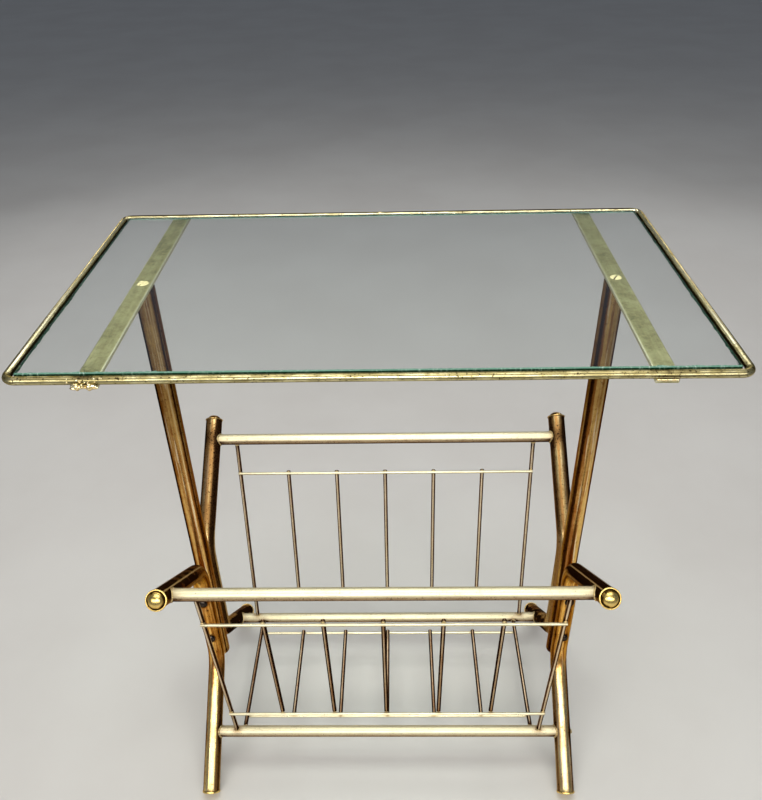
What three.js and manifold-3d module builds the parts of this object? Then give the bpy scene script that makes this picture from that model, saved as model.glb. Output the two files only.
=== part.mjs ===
// Glass-topped side table with a wire magazine rack slung between its legs.
//
// Two side frames carry everything. Each is a straight upright tube with a bent leg tube bolted on
// its front and another on its back, the two bulging towards each other like ")(". Four rails join
// the side frames: two between the upper arms and two between the lower legs. Three panels of
// welded wire hang between the rails and make the rack. The uprights end in two flat straps, which
// are welded under a rim bent from round rod. A loose glass pane lies inside the rim on the straps.
//
// Millimetres. +X is to the right, +Y to the back, +Z up. The origin is on the floor, under the
// centre of the table. Pieces that touch in the real object keep a small gap here.

import * as THREE from 'three';
import { mergeVertices } from 'three/addons/utils/BufferGeometryUtils.js';
import Module from 'manifold-3d';

const wasm = await Module();
wasm.setup();

// ---- Driving dimensions -------------------------------------------------------------------------

const GAP = 0.3;                    // left between pieces that touch
const PAST = 5;                     // cutters run past the piece they cut by this

// Side frames
const SIDE_X = 206.5;               // centre plane of each side frame, from the middle
const TUBE_RADIUS = 9.5;            // legs and uprights are the same 19 mm tube
const TUBE_WALL = 1.2;
const TUBE_SIDES = 18;
const LEG_BEND_RADIUS = 40;
const LEG_BEND_STEPS = 5;
const LEG_LOW_BEND_Z = 108.5;       // where the lower leg's axis meets the vertical middle's
const LEG_HIGH_BEND_Z = 255;        // where the upper arm's axis meets it
const FOOT_Y = 132;                 // centre of the leg's lower end
const ARM_END_Y = 139;              // centre of the leg's upper end
const ARM_END_Z = 345.5;
const UPRIGHT_BOTTOM_Z = 95;
const UPRIGHT_PLUG_DEPTH = 14;      // solid top of the upright, which takes the screw

// Caps in the ends of the legs
const CAP_LIP_RADIUS = 10.2;
const CAP_LIP_THICKNESS = 1.6;
const CAP_DOME_RADIUS = 8;
const CAP_DOME_HEIGHT = 4.5;
const CAP_SPIGOT_LENGTH = 9;
const CAP_SIDES = 18;
const DOME_STEPS = 4;               // along the arc of a cap's or nut's dome
const FOOT_LIP_THICKNESS = 2.4;
const FOOT_FLAT_DEPTH = 1;          // worn off the lip's lowest edge, so that the foot stands flat
const FOOT_PASSES = 8;              // rounds that settle the foot's height against the leg's slope

// Rails
const RAIL_RADIUS = 6.35;
const RAIL_WALL = 1;
const RAIL_SIDES = 16;
const TOP_RAIL_FROM_END = 23.5;     // along the arm, from its upper end
const BOTTOM_RAIL_FROM_END = 64;    // along the leg, from its lower end
const COPE_SIDES = 24;

// Wire panels
const LONG_WIRE_RADIUS = 2.4;
const CROSS_WIRE_RADIUS = 1.6;
const WIRE_SIDES = 10;
const LONG_WIRES = 7;               // in each panel, the outer two reach the rails
const WALL_PITCH = 59.3;            // between long wires of the front and back panels
const FLOOR_PITCH = 56.6;           // between long wires of the bottom panel
const WALL_CROSS_FROM_TOP = 46;     // cross wires, along the panel from the rails' axes
const WALL_CROSS_FROM_BOTTOM = 52;
const FLOOR_CROSS_FROM_RAIL = 22.5;
const CROSS_OVERHANG = 1.6;         // cross wires pass the outer long wires' axes by this
const LONG_OVERHANG = 0.5;          // inner long wires pass the cross wires' axes by this

// Bolts through each side frame
const BOLT_HEIGHTS = { lower: 151, upper: 212 };
const BOLT_RADIUS = 3;
const BOLT_HOLE_RADIUS = 3.4;
const BOLT_HEAD_RADIUS = 5.4;
const BOLT_HEAD_HEIGHT = 3.6;
const BOLT_SIDES = 12;
const BOLT_DOME_STEPS = 3;
const NUT_ACROSS_CORNERS = 11.5;
const NUT_HEX_HEIGHT = 5;
const NUT_DOME_RADIUS = 4.6;
const NUT_DOME_SUNK = 1;            // the dome's rim lies this deep in the hexagon

// Top
const TOP_HEIGHT = 600;             // top of the rim
const ROD_RADIUS = 3.2;
const ROD_SIDES = 12;
const RIM_HALF_WIDTH = 266;         // to the rod's axis
const RIM_HALF_DEPTH = 155;
const RIM_CORNER_RADIUS = 8;
const RIM_CORNER_STEPS = 5;
const STRAP_WIDTH = 17;
const STRAP_THICKNESS = 3.2;
const STRAP_PAST_ROD = 1.5;         // straps end this far outside the rod's axis
const STRAP_HALF_LENGTH = RIM_HALF_DEPTH + STRAP_PAST_ROD;
const GLASS_THICKNESS = 6;
const GLASS_CLEARANCE = 2.2;        // to the rod, all round
const GLASS_CORNER_RADIUS = 1.5;
const GLASS_CORNER_STEPS = 3;

// Screws that hold the straps to the uprights
const SCREW_RADIUS = 2.5;
const SCREW_HEAD_RADIUS = 4.9;
const SCREW_HEAD_HEIGHT = 2.6;
const SCREW_LENGTH = 14;
const SCREW_SLOT = { width: 1.2, depth: 1.1 };

// ---- Materials ----------------------------------------------------------------------------------

const metal = (color, roughness) => (
  new THREE.MeshStandardMaterial({ color, roughness, metalness: 1 })
);
const tubeBrass = metal(0xb08a4a, 0.22);
const wireBrass = metal(0xb9a074, 0.3);
const rimBrass = metal(0xc9b878, 0.25);
const strapBrass = metal(0xa9a577, 0.45);
const capBrass = metal(0xd9cf86, 0.18);
const boltBrass = metal(0x9a8050, 0.35);
const clearGlass = new THREE.MeshStandardMaterial({
  color: 0xcfe6dc, roughness: 0.05, metalness: 0, transparent: true, opacity: 0.35,
});

// ---- Helpers ------------------------------------------------------------------------------------

const table = new THREE.Group();
const SIDES = [['left', -1], ['right', 1]];
const ENDS = [['front', -1], ['back', 1]];
const Y_AXIS = new THREE.Vector3(0, 1, 0);
const Z_AXIS = new THREE.Vector3(0, 0, 1);
const MERGE_DISTANCE = 1e-4;

/** Adds a named piece to a group and returns it. */
function addPiece(group, name, geometry, material) {
  const mesh = new THREE.Mesh(geometry, material);
  mesh.name = name;
  group.add(mesh);
  return mesh;
}

/** Places a piece built along +Z so that its base is at `from` and it points at `to`. */
function pointPiece(mesh, from, to) {
  mesh.position.copy(from);
  mesh.quaternion.setFromUnitVectors(Z_AXIS, to.clone().sub(from).normalize());
}

/** A closed geometry as a manifold solid. */
function solidOf(geometry) {
  const bare = geometry.clone();
  bare.deleteAttribute('normal');
  bare.deleteAttribute('uv');
  const merged = mergeVertices(bare, MERGE_DISTANCE);
  return new wasm.Manifold(new wasm.Mesh({
    numProp: 3,
    vertProperties: new Float32Array(merged.attributes.position.array),
    triVerts: new Uint32Array(merged.index.array),
  }));
}

/** A manifold solid as a geometry with flat facets. */
function geometryOf(solid) {
  const mesh = solid.getMesh();
  const geometry = new THREE.BufferGeometry();
  const positions = [];
  for (let v = 0; v < mesh.numVert; v++) {
    positions.push(...mesh.vertProperties.slice(v * mesh.numProp, v * mesh.numProp + 3));
  }
  geometry.setAttribute('position', new THREE.Float32BufferAttribute(positions, 3));
  geometry.setIndex(Array.from(mesh.triVerts));
  const facets = geometry.toNonIndexed();
  facets.computeVertexNormals();
  return facets;
}

/** The geometry that is left when every cutter is taken from the body. */
function cut(body, ...cutters) {
  const left = cutters.reduce((solid, cutter) => solid.subtract(solidOf(cutter)), solidOf(body));
  return geometryOf(left);
}

/** A solid round rod from z = 0 to z = length. */
function rodGeometry(radius, length, sides) {
  return new THREE.CylinderGeometry(radius, radius, length, sides)
    .rotateX(Math.PI / 2)
    .translate(0, 0, length / 2);
}

/** A round cutter through the origin, along the direction given. */
function drill(radius, length, direction, sides) {
  const turn = new THREE.Quaternion().setFromUnitVectors(Z_AXIS, direction.clone().normalize());
  return rodGeometry(radius, length, sides).translate(0, 0, -length / 2).applyQuaternion(turn);
}

/** A solid of revolution about +Z from points (radius, z), listed upwards from axis to axis. */
function turned(profile, sides) {
  const points = profile.map(([radius, z]) => new THREE.Vector2(radius, z));
  return new THREE.LatheGeometry(points, sides).rotateX(Math.PI / 2);
}

/** Points (radius, z) of a dome's quarter arc, from its rim at z = 0 to its crown. */
function domeProfile(radius, height, steps) {
  return Array.from({ length: steps + 1 }, (_, step) => {
    const angle = (step / steps) * Math.PI / 2;
    return [step === steps ? 0 : radius * Math.cos(angle), height * Math.sin(angle)];
  });
}

/** Straight runs between corners, joined by round bends. Stations are dense only in the bends. */
class BentPath extends THREE.Curve {
  constructor(corners, bendRadius, stepsPerBend) {
    super();
    this.stations = [];
    const last = corners.length - 1;
    const run = (i) => corners[i + 1].clone().sub(corners[i]).normalize();
    this.stations.push({ point: corners[0], tangent: run(0) });
    for (let i = 1; i < last; i++) {
      this.addBend(corners[i], run(i - 1), run(i), bendRadius, stepsPerBend);
    }
    this.stations.push({ point: corners[last], tangent: run(last - 1) });
  }

  addBend(corner, before, after, radius, steps) {
    const turn = before.angleTo(after);
    const axis = before.clone().cross(after).normalize();
    const start = corner.clone().addScaledVector(before, -radius * Math.tan(turn / 2));
    const centre = start.clone().addScaledVector(axis.clone().cross(before), radius);
    for (let step = 0; step <= steps; step++) {
      const angle = turn * step / steps;
      this.stations.push({
        point: start.clone().sub(centre).applyAxisAngle(axis, angle).add(centre),
        tangent: before.clone().applyAxisAngle(axis, angle),
      });
    }
  }

  get steps() {
    return this.stations.length - 1;
  }

  pick(fraction, key, target) {
    const place = fraction * this.steps;
    const index = Math.min(Math.floor(place + 1e-9), this.steps - 1);
    const [before, after] = this.stations.slice(index, index + 2);
    return target.lerpVectors(before[key], after[key], place - index);
  }

  getPoint(fraction, target = new THREE.Vector3()) {
    return this.pick(fraction, 'point', target);
  }

  getPointAt(fraction, target = new THREE.Vector3()) {
    return this.pick(fraction, 'point', target);
  }

  getTangentAt(fraction, target = new THREE.Vector3()) {
    return this.pick(fraction, 'tangent', target).normalize();
  }
}

/** A round section swept along a path, hollow where a wall thickness is given. */
function sweptRound(path, radius, sides, wall = 0) {
  const section = new THREE.Shape().absarc(0, 0, radius, 0, Math.PI * 2);
  if (wall > 0) {
    section.holes.push(new THREE.Path().absarc(0, 0, radius - wall, 0, Math.PI * 2, true));
  }
  return new THREE.ExtrudeGeometry(section, {
    steps: path.steps, extrudePath: path, curveSegments: sides / 2, bevelEnabled: false,
  });
}

// ---- Layout of one leg --------------------------------------------------------------------------
// Worked out in the plane of a side frame for the back leg. A front leg is its mirror image.

const LEG_OFFSET = 2 * TUBE_RADIUS + GAP;         // leg's vertical middle, from the upright's axis
const lowBend = new THREE.Vector3(0, LEG_OFFSET, LEG_LOW_BEND_Z);
const highBend = new THREE.Vector3(0, LEG_OFFSET, LEG_HIGH_BEND_Z);
const armEnd = new THREE.Vector3(0, ARM_END_Y, ARM_END_Z);

/** Height of the foot's centre that puts the lip's lowest edge at -FOOT_FLAT_DEPTH. */
function footCentre() {
  const centre = new THREE.Vector3(0, FOOT_Y, 0);
  for (let pass = 0; pass < FOOT_PASSES; pass++) {
    const along = centre.clone().sub(lowBend).normalize();
    const lipBelow = CAP_LIP_RADIUS * along.y - FOOT_LIP_THICKNESS * along.z;
    centre.z = lipBelow - FOOT_FLAT_DEPTH;
  }
  return centre;
}

const foot = footCentre();
const legDirection = foot.clone().sub(lowBend).normalize();     // down the lower leg
const armDirection = armEnd.clone().sub(highBend).normalize();  // up the upper arm
const bottomRail = foot.clone().addScaledVector(legDirection, -BOTTOM_RAIL_FROM_END);
const topRail = armEnd.clone().addScaledVector(armDirection, -TOP_RAIL_FROM_END);

// ---- Side frames --------------------------------------------------------------------------------

/** A front (end = -1) or back (end = 1) point of the leg's layout. */
const mirrored = (point, end) => new THREE.Vector3(point.x, point.y * end, point.z);

function legGeometry(end) {
  const corners = [foot, lowBend, highBend, armEnd].map((point) => mirrored(point, end));
  const tube = sweptRound(new BentPath(corners, LEG_BEND_RADIUS, LEG_BEND_STEPS),
    TUBE_RADIUS, TUBE_SIDES, TUBE_WALL);
  return cut(tube, ...boltHoles(LEG_OFFSET * end));
}

/** Drills, front to back, for both bolts of a side frame, through a tube at the depth given. */
function boltHoles(depth) {
  return Object.values(BOLT_HEIGHTS).map((height) => (
    drill(BOLT_HOLE_RADIUS, 3 * TUBE_RADIUS, Y_AXIS, BOLT_SIDES).translate(0, depth, height)
  ));
}

function uprightGeometry() {
  const top = TOP_HEIGHT - 2 * ROD_RADIUS - GAP - STRAP_THICKNESS - GAP;
  const height = top - UPRIGHT_BOTTOM_Z;
  const body = rodGeometry(TUBE_RADIUS, height, TUBE_SIDES);
  const bore = rodGeometry(TUBE_RADIUS - TUBE_WALL, height, TUBE_SIDES)
    .translate(0, 0, -UPRIGHT_PLUG_DEPTH);
  const thread = rodGeometry(SCREW_RADIUS + GAP, UPRIGHT_PLUG_DEPTH + 2 * PAST, BOLT_SIDES)
    .translate(0, 0, height - UPRIGHT_PLUG_DEPTH - PAST);
  const [tube, ...hollows] = [body, bore, thread].map((part) => (
    part.translate(0, 0, UPRIGHT_BOTTOM_Z)
  ));
  return cut(tube, ...hollows, ...boltHoles(0));
}

/** Domed cap for an arm's end: spigot down inside the tube, lip on its end, dome above. */
function armCapGeometry() {
  const spigotRadius = TUBE_RADIUS - TUBE_WALL - GAP;
  const dome = domeProfile(CAP_DOME_RADIUS, CAP_DOME_HEIGHT, DOME_STEPS)
    .map(([radius, z]) => [radius, z + CAP_LIP_THICKNESS]);
  return turned([
    [0, -CAP_SPIGOT_LENGTH], [spigotRadius, -CAP_SPIGOT_LENGTH], [spigotRadius, GAP],
    [CAP_LIP_RADIUS, GAP], [CAP_LIP_RADIUS, CAP_LIP_THICKNESS], ...dome,
  ], CAP_SIDES);
}

/**
 * Flat cap for a leg's lower end, cut level with the floor.
 * The tube ends at `height` above the floor, and `turn` is the cap's tilt from +Z.
 */
function footCapGeometry(height, turn) {
  const spigotRadius = TUBE_RADIUS - TUBE_WALL - GAP;
  const cap = turned([
    [0, -CAP_SPIGOT_LENGTH], [spigotRadius, -CAP_SPIGOT_LENGTH], [spigotRadius, GAP],
    [CAP_LIP_RADIUS, GAP], [CAP_LIP_RADIUS, FOOT_LIP_THICKNESS], [0, FOOT_LIP_THICKNESS],
  ], CAP_SIDES);
  const side = 4 * CAP_LIP_RADIUS;
  const belowFloor = new THREE.BoxGeometry(side, side, side).translate(0, 0, -side / 2 - height);
  return cut(cap, belowFloor.applyQuaternion(turn.clone().invert()));
}

/** Pan-headed bolt along +Z, with the underside of its head at z = 0. */
function boltGeometry(length) {
  const head = domeProfile(BOLT_HEAD_RADIUS, BOLT_HEAD_HEIGHT, BOLT_DOME_STEPS)
    .map(([radius, z]) => [radius, -z])
    .reverse();
  const shank = [[BOLT_RADIUS, 0], [BOLT_RADIUS, length], [0, length]];
  return turned([...head, ...shank], BOLT_SIDES);
}

/** Domed cap nut along +Z, open at z = 0 where the bolt goes in. */
function nutGeometry(boreDepth) {
  const hex = rodGeometry(NUT_ACROSS_CORNERS / 2, NUT_HEX_HEIGHT, 6);
  const arc = domeProfile(NUT_DOME_RADIUS, NUT_DOME_RADIUS, DOME_STEPS);
  const dome = turned([[0, 0], ...arc], BOLT_SIDES).translate(0, 0, NUT_HEX_HEIGHT - NUT_DOME_SUNK);
  const bore = rodGeometry(BOLT_RADIUS + GAP, boreDepth + PAST, BOLT_SIDES).translate(0, 0, -PAST);
  return geometryOf(solidOf(hex).add(solidOf(dome)).subtract(solidOf(bore)));
}

for (const [sideName, side] of SIDES) {
  const frame = new THREE.Group();
  frame.position.x = SIDE_X * side;
  table.add(frame);

  addPiece(frame, `upright_${sideName}`, uprightGeometry(), tubeBrass);

  for (const [endName, end] of ENDS) {
    const legName = `${endName}_leg_${sideName}`;
    addPiece(frame, legName, legGeometry(end), tubeBrass);

    const armCap = addPiece(frame, `${legName}_top_cap`, armCapGeometry(), capBrass);
    const armTip = mirrored(armEnd, end);
    pointPiece(armCap, armTip, armTip.clone().add(mirrored(armDirection, end)));

    const footTip = mirrored(foot, end);
    const down = mirrored(legDirection, end);
    const turn = new THREE.Quaternion().setFromUnitVectors(Z_AXIS, down);
    const footGeometry = footCapGeometry(footTip.z, turn);
    const footCap = addPiece(frame, `${legName}_foot_cap`, footGeometry, capBrass);
    pointPiece(footCap, footTip, footTip.clone().add(down));
  }

  const boltFace = LEG_OFFSET + TUBE_RADIUS + GAP;
  const nutBore = NUT_HEX_HEIGHT - NUT_DOME_SUNK;
  const boltLength = 2 * boltFace + nutBore - GAP;
  for (const [heightName, height] of Object.entries(BOLT_HEIGHTS)) {
    const boltName = `bolt_${sideName}_${heightName}`;
    const nutName = `nut_${sideName}_${heightName}`;
    const bolt = addPiece(frame, boltName, boltGeometry(boltLength), boltBrass);
    const nut = addPiece(frame, nutName, nutGeometry(nutBore), boltBrass);
    const axisPoint = (y) => new THREE.Vector3(0, y, height);
    pointPiece(bolt, axisPoint(-boltFace), axisPoint(0));
    pointPiece(nut, axisPoint(boltFace), axisPoint(2 * boltFace));
  }
}

// ---- Rails --------------------------------------------------------------------------------------

/** A tube across the rack, both ends coped to fit round a leg that runs along `legLine`. */
function railGeometry(legLine) {
  const ends = [-SIDE_X, SIDE_X].map((x) => new THREE.Vector3(x, 0, 0));
  const tube = sweptRound(new BentPath(ends, 0, 0), RAIL_RADIUS, RAIL_SIDES, RAIL_WALL);
  const copes = ends.map((point) => (
    drill(TUBE_RADIUS + GAP, 4 * TUBE_RADIUS, legLine, COPE_SIDES).translate(point.x, 0, 0)
  ));
  return cut(tube, ...copes);
}

for (const [endName, end] of ENDS) {
  const upper = railGeometry(mirrored(armDirection, end));
  const lower = railGeometry(mirrored(legDirection, end));
  addPiece(table, `${endName}_top_rail`, upper, rimBrass).position.copy(mirrored(topRail, end));
  addPiece(table, `${endName}_bottom_rail`, lower, rimBrass).position.copy(mirrored(bottomRail, end));
}

// ---- Wire panels --------------------------------------------------------------------------------

/** A straight wire between two points. */
function addWire(name, radius, from, to) {
  const rod = rodGeometry(radius, from.distanceTo(to), WIRE_SIDES);
  pointPiece(addPiece(table, name, rod, wireBrass), from, to);
}

/**
 * A panel of wires between two rails, whose axes run along X through `start` and `end`.
 * The cross wires lie against the long wires on the side that `face` points to.
 */
function addPanel(panelName, { start, end, pitch, crossFromStart, crossFromEnd, face }) {
  const along = end.clone().sub(start).normalize();
  const length = end.distanceTo(start);
  const railGap = RAIL_RADIUS + GAP;
  const place = (x, distance) => start.clone().addScaledVector(along, distance).setX(x);

  for (let i = 0; i < LONG_WIRES; i++) {
    const x = (i - (LONG_WIRES - 1) / 2) * pitch;
    const outer = i === 0 || i === LONG_WIRES - 1;
    const first = outer ? railGap : crossFromStart - LONG_OVERHANG;
    const last = length - (outer ? railGap : crossFromEnd - LONG_OVERHANG);
    addWire(`${panelName}_wire_${i + 1}`, LONG_WIRE_RADIUS, place(x, first), place(x, last));
  }

  const halfSpan = pitch * (LONG_WIRES - 1) / 2 + CROSS_OVERHANG;
  const lift = face.clone().multiplyScalar(LONG_WIRE_RADIUS + GAP + CROSS_WIRE_RADIUS);
  for (const [wireName, distance] of [['a', crossFromStart], ['b', length - crossFromEnd]]) {
    addWire(`${panelName}_cross_wire_${wireName}`, CROSS_WIRE_RADIUS,
      place(-halfSpan, distance).add(lift), place(halfSpan, distance).add(lift));
  }
}

for (const [endName, end] of ENDS) {
  const start = mirrored(topRail, end);
  const finish = mirrored(bottomRail, end);
  const along = finish.clone().sub(start).normalize();
  addPanel(`${endName}_panel`, {
    start,
    end: finish,
    pitch: WALL_PITCH,
    crossFromStart: WALL_CROSS_FROM_TOP,
    crossFromEnd: WALL_CROSS_FROM_BOTTOM,
    face: new THREE.Vector3(0, along.z, -along.y),
  });
}

addPanel('bottom_panel', {
  start: mirrored(bottomRail, -1),
  end: mirrored(bottomRail, 1),
  pitch: FLOOR_PITCH,
  crossFromStart: FLOOR_CROSS_FROM_RAIL,
  crossFromEnd: FLOOR_CROSS_FROM_RAIL,
  face: new THREE.Vector3(0, 0, -1),
});

// ---- Top ----------------------------------------------------------------------------------------

/** Rim rod, bent at the four corners. Its ends meet, all but a gap, at the middle of the back. */
function rimGeometry() {
  const corners = [
    [-GAP / 2, RIM_HALF_DEPTH],
    [-RIM_HALF_WIDTH, RIM_HALF_DEPTH],
    [-RIM_HALF_WIDTH, -RIM_HALF_DEPTH],
    [RIM_HALF_WIDTH, -RIM_HALF_DEPTH],
    [RIM_HALF_WIDTH, RIM_HALF_DEPTH],
    [GAP / 2, RIM_HALF_DEPTH],
  ].map(([x, y]) => new THREE.Vector3(x, y, 0));
  const path = new BentPath(corners, RIM_CORNER_RADIUS, RIM_CORNER_STEPS);
  return sweptRound(path, ROD_RADIUS, ROD_SIDES);
}

/** Flat bar along Y with its top face at z = 0 and a countersunk hole at its middle. */
function strapGeometry() {
  const bar = new THREE.BoxGeometry(STRAP_WIDTH, 2 * STRAP_HALF_LENGTH, STRAP_THICKNESS)
    .translate(0, 0, -STRAP_THICKNESS / 2);
  const bottom = -STRAP_THICKNESS - PAST;
  const sink = SCREW_HEAD_HEIGHT + GAP;
  const shankHole = SCREW_RADIUS + GAP;
  const headHole = SCREW_HEAD_RADIUS + GAP;
  const hole = turned([
    [0, bottom], [shankHole, bottom], [shankHole, -sink], [headHole, 0], [headHole, PAST], [0, PAST],
  ], BOLT_SIDES);
  return cut(bar, hole);
}

/** Slotted countersunk screw, pointing down, with the top of its head at z = 0. */
function screwGeometry() {
  const screw = turned([
    [0, -SCREW_LENGTH],
    [SCREW_RADIUS, -SCREW_LENGTH],
    [SCREW_RADIUS, -SCREW_HEAD_HEIGHT],
    [SCREW_HEAD_RADIUS, 0],
    [0, 0],
  ], BOLT_SIDES);
  const slot = new THREE.BoxGeometry(4 * SCREW_HEAD_RADIUS, SCREW_SLOT.width, 2 * SCREW_SLOT.depth);
  return cut(screw, slot);
}

/** Pane with slightly rounded corners, from z = 0 up. */
function glassGeometry() {
  const halfWidth = RIM_HALF_WIDTH - ROD_RADIUS - GLASS_CLEARANCE;
  const halfDepth = RIM_HALF_DEPTH - ROD_RADIUS - GLASS_CLEARANCE;
  const radius = GLASS_CORNER_RADIUS;
  const outline = new THREE.Shape();
  for (const [x, y, turn] of [[1, 1, 0], [-1, 1, 1], [-1, -1, 2], [1, -1, 3]]) {
    const centre = { x: x * (halfWidth - radius), y: y * (halfDepth - radius) };
    const from = turn * Math.PI / 2;
    outline.absarc(centre.x, centre.y, radius, from, from + Math.PI / 2);
  }
  return new THREE.ExtrudeGeometry(outline, {
    depth: GLASS_THICKNESS, curveSegments: GLASS_CORNER_STEPS, bevelEnabled: false,
  });
}

const strapTop = TOP_HEIGHT - 2 * ROD_RADIUS - GAP;

addPiece(table, 'top_rim', rimGeometry(), rimBrass).position.z = TOP_HEIGHT - ROD_RADIUS;
for (const [sideName, side] of SIDES) {
  const strap = addPiece(table, `strap_${sideName}`, strapGeometry(), strapBrass);
  const screw = addPiece(table, `strap_screw_${sideName}`, screwGeometry(), boltBrass);
  strap.position.set(SIDE_X * side, 0, strapTop);
  screw.position.set(SIDE_X * side, 0, strapTop - GAP);
}
addPiece(table, 'glass_pane', glassGeometry(), clearGlass).position.z = strapTop + GAP;

export default table;
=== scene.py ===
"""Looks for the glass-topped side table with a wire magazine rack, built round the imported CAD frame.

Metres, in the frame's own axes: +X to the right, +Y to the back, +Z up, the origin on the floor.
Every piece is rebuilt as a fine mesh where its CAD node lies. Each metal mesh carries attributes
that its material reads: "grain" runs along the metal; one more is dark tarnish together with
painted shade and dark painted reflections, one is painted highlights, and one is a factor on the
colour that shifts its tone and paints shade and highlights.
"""

import math
import random

import bmesh
import bpy
import numpy as np
from mathutils import Matrix, Vector, noise


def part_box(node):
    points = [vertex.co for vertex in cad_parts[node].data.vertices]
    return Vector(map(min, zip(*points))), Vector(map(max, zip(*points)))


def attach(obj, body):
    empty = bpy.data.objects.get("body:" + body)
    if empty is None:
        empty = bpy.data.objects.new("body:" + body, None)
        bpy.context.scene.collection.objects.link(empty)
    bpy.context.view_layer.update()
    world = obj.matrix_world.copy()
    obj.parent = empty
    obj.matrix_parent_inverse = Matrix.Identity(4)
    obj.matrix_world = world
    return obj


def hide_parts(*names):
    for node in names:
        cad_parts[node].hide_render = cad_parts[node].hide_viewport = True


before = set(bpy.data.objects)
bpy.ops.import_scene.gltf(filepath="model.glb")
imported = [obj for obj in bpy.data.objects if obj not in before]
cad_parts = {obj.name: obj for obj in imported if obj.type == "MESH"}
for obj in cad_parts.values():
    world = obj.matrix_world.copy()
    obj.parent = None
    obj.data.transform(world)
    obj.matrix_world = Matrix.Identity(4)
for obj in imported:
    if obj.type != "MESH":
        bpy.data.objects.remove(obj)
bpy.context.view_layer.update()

MM = 0.001
X_AXIS, Y_AXIS, Z_AXIS = np.eye(3)
SIDES = (("left", -1), ("right", 1))
ENDS = (("front", -1), ("back", 1))


# ---- Sizes -------------------------------------------------------------------------------------
# Read from the frame's boxes, and the CAD's own driving dimensions where a box can't give them.


def centre(node):
    low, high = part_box(node)
    return np.array((low + high) / 2)


def extent(node):
    low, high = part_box(node)
    return np.array(high - low)


TUBE_RADIUS = extent("upright_left")[1] / 2
TUBE_WALL = 1.2 * MM
TUBE_EDGE = 0.3 * MM
TUBE_SIDES = 56
CAP_SIDES = 64
PATH_STEP = 4 * MM                  # between stations along a tube, rail or strap
UPRIGHT_PLUG_DEPTH = 14 * MM
LEG_FOOT = (0.132, 0.008215)        # y, z of the middle of the leg's lower end
LEG_LOW_BEND_Z = 0.1085
LEG_HIGH_BEND_Z = 0.255
LEG_ARM_END = (0.139, 0.3455)       # y, z of the middle of the leg's upper end
LEG_BEND_RADIUS = 0.040
LEG_OFFSET = 2 * TUBE_RADIUS + 0.3 * MM

RAIL_RADIUS = extent("front_top_rail")[2] / 2
RAIL_WALL = 1 * MM
RAIL_SIDES = 48
LONG_WIRE_RADIUS = 2.4 * MM
CROSS_WIRE_RADIUS = 1.6 * MM
WIRE_SIDES = 24
WIRE_STEP = 3 * MM
BOLT_RADIUS = 3 * MM
BOLT_HOLE_RADIUS = 3.4 * MM
BOLT_HEAD_RADIUS = 5.4 * MM
BOLT_HEAD_HEIGHT = 3.6 * MM
BOLT_SIDES = 48
NUT_SIDES = 96
NUT_CORNER_RADIUS = 5.75 * MM
NUT_HEXAGON_HEIGHT = 5 * MM
NUT_DOME_RADIUS = 4.6 * MM
ROD_RADIUS = extent("top_rim")[2] / 2
ROD_SIDES = 28
RIM_CORNER_RADIUS = 8 * MM
SCREW_RADIUS = 2.5 * MM
SCREW_HEAD_RADIUS = 4.9 * MM
SCREW_HEAD_HEIGHT = 2.6 * MM
SCREW_SIDES = 56
SINK_SIDES = 48
BEAD_SIDES = 14
PANE_CORNER_RADIUS = 1.5 * MM
PANE_ARRIS = 0.8 * MM

GRAIN_STRETCH = 0.025               # how much the grain's pattern is drawn out along the metal
SHARP_ANGLE = math.radians(38)


# ---- Camera, floor and lights ------------------------------------------------------------------

CAMERA_PLACE = (0.01653, -0.61203, 0.89273)
CAMERA_PITCH = math.radians(34.622)         # below the horizon
CAMERA_YAW = math.radians(-1.525)           # to the right of +Y
CAMERA_ROLL = math.radians(-1.437)
CAMERA_LENS = 34.62                         # on a 36 mm sensor along the long side


def make_camera():
    data = bpy.data.cameras.new("camera")
    data.lens = CAMERA_LENS
    data.clip_start = 0.01
    camera = bpy.data.objects.new("camera", data)
    turn = (
        Matrix.Rotation(-CAMERA_YAW, 4, "Z")
        @ Matrix.Rotation(math.pi / 2 - CAMERA_PITCH, 4, "X")
        @ Matrix.Rotation(CAMERA_ROLL, 4, "Z")
    )
    camera.matrix_world = Matrix.Translation(CAMERA_PLACE) @ turn
    bpy.context.scene.collection.objects.link(camera)
    bpy.context.scene.camera = camera


def softbox(name, place, target, size, power, colour=(1, 1, 1)):
    """A rectangular light of size (width, height) that faces a target."""
    data = bpy.data.lights.new(name, "AREA")
    data.shape = "RECTANGLE"
    data.size, data.size_y = size
    data.energy = power
    data.color = colour
    lamp = bpy.data.objects.new(name, data)
    lamp.location = place
    lamp.rotation_euler = (Vector(target) - Vector(place)).to_track_quat("-Z", "Y").to_euler()
    bpy.context.scene.collection.objects.link(lamp)


def make_studio():
    """A dim even room with broad lights in front, overhead and behind."""
    world = bpy.data.worlds.new("studio")
    world.use_nodes = True
    background = world.node_tree.nodes["Background"]
    background.inputs["Color"].default_value = (0.78, 0.86, 1.0, 1)
    background.inputs["Strength"].default_value = 0.16
    bpy.context.scene.world = world
    bpy.context.scene.view_settings.view_transform = "Standard"
    middle = (0, 0, 0.3)
    softbox("front", (-0.15, -1.75, 1.40), middle, (3.4, 0.6), 32, (1, 0.97, 0.91))
    softbox("top", (0, -0.1, 2.2), middle, (1.8, 1.1), 21, (1, 0.98, 0.94))
    softbox("back_top", (0, 1.55, 2.15), (0, 0, 0.6), (2.0, 0.5), 8, (1, 0.98, 0.94))
    softbox("camera_side", (0.02, -0.80, 1.01), middle, (0.3, 0.16), 1.7, (1, 0.98, 0.94))
    for side in (-1, 1):
        softbox(f"back_side_{side}", (1.15 * side, 1.7, 1.0), (0, 0, 0.6), (0.35, 0.5), 3)


# ---- Node helpers ------------------------------------------------------------------------------


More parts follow.
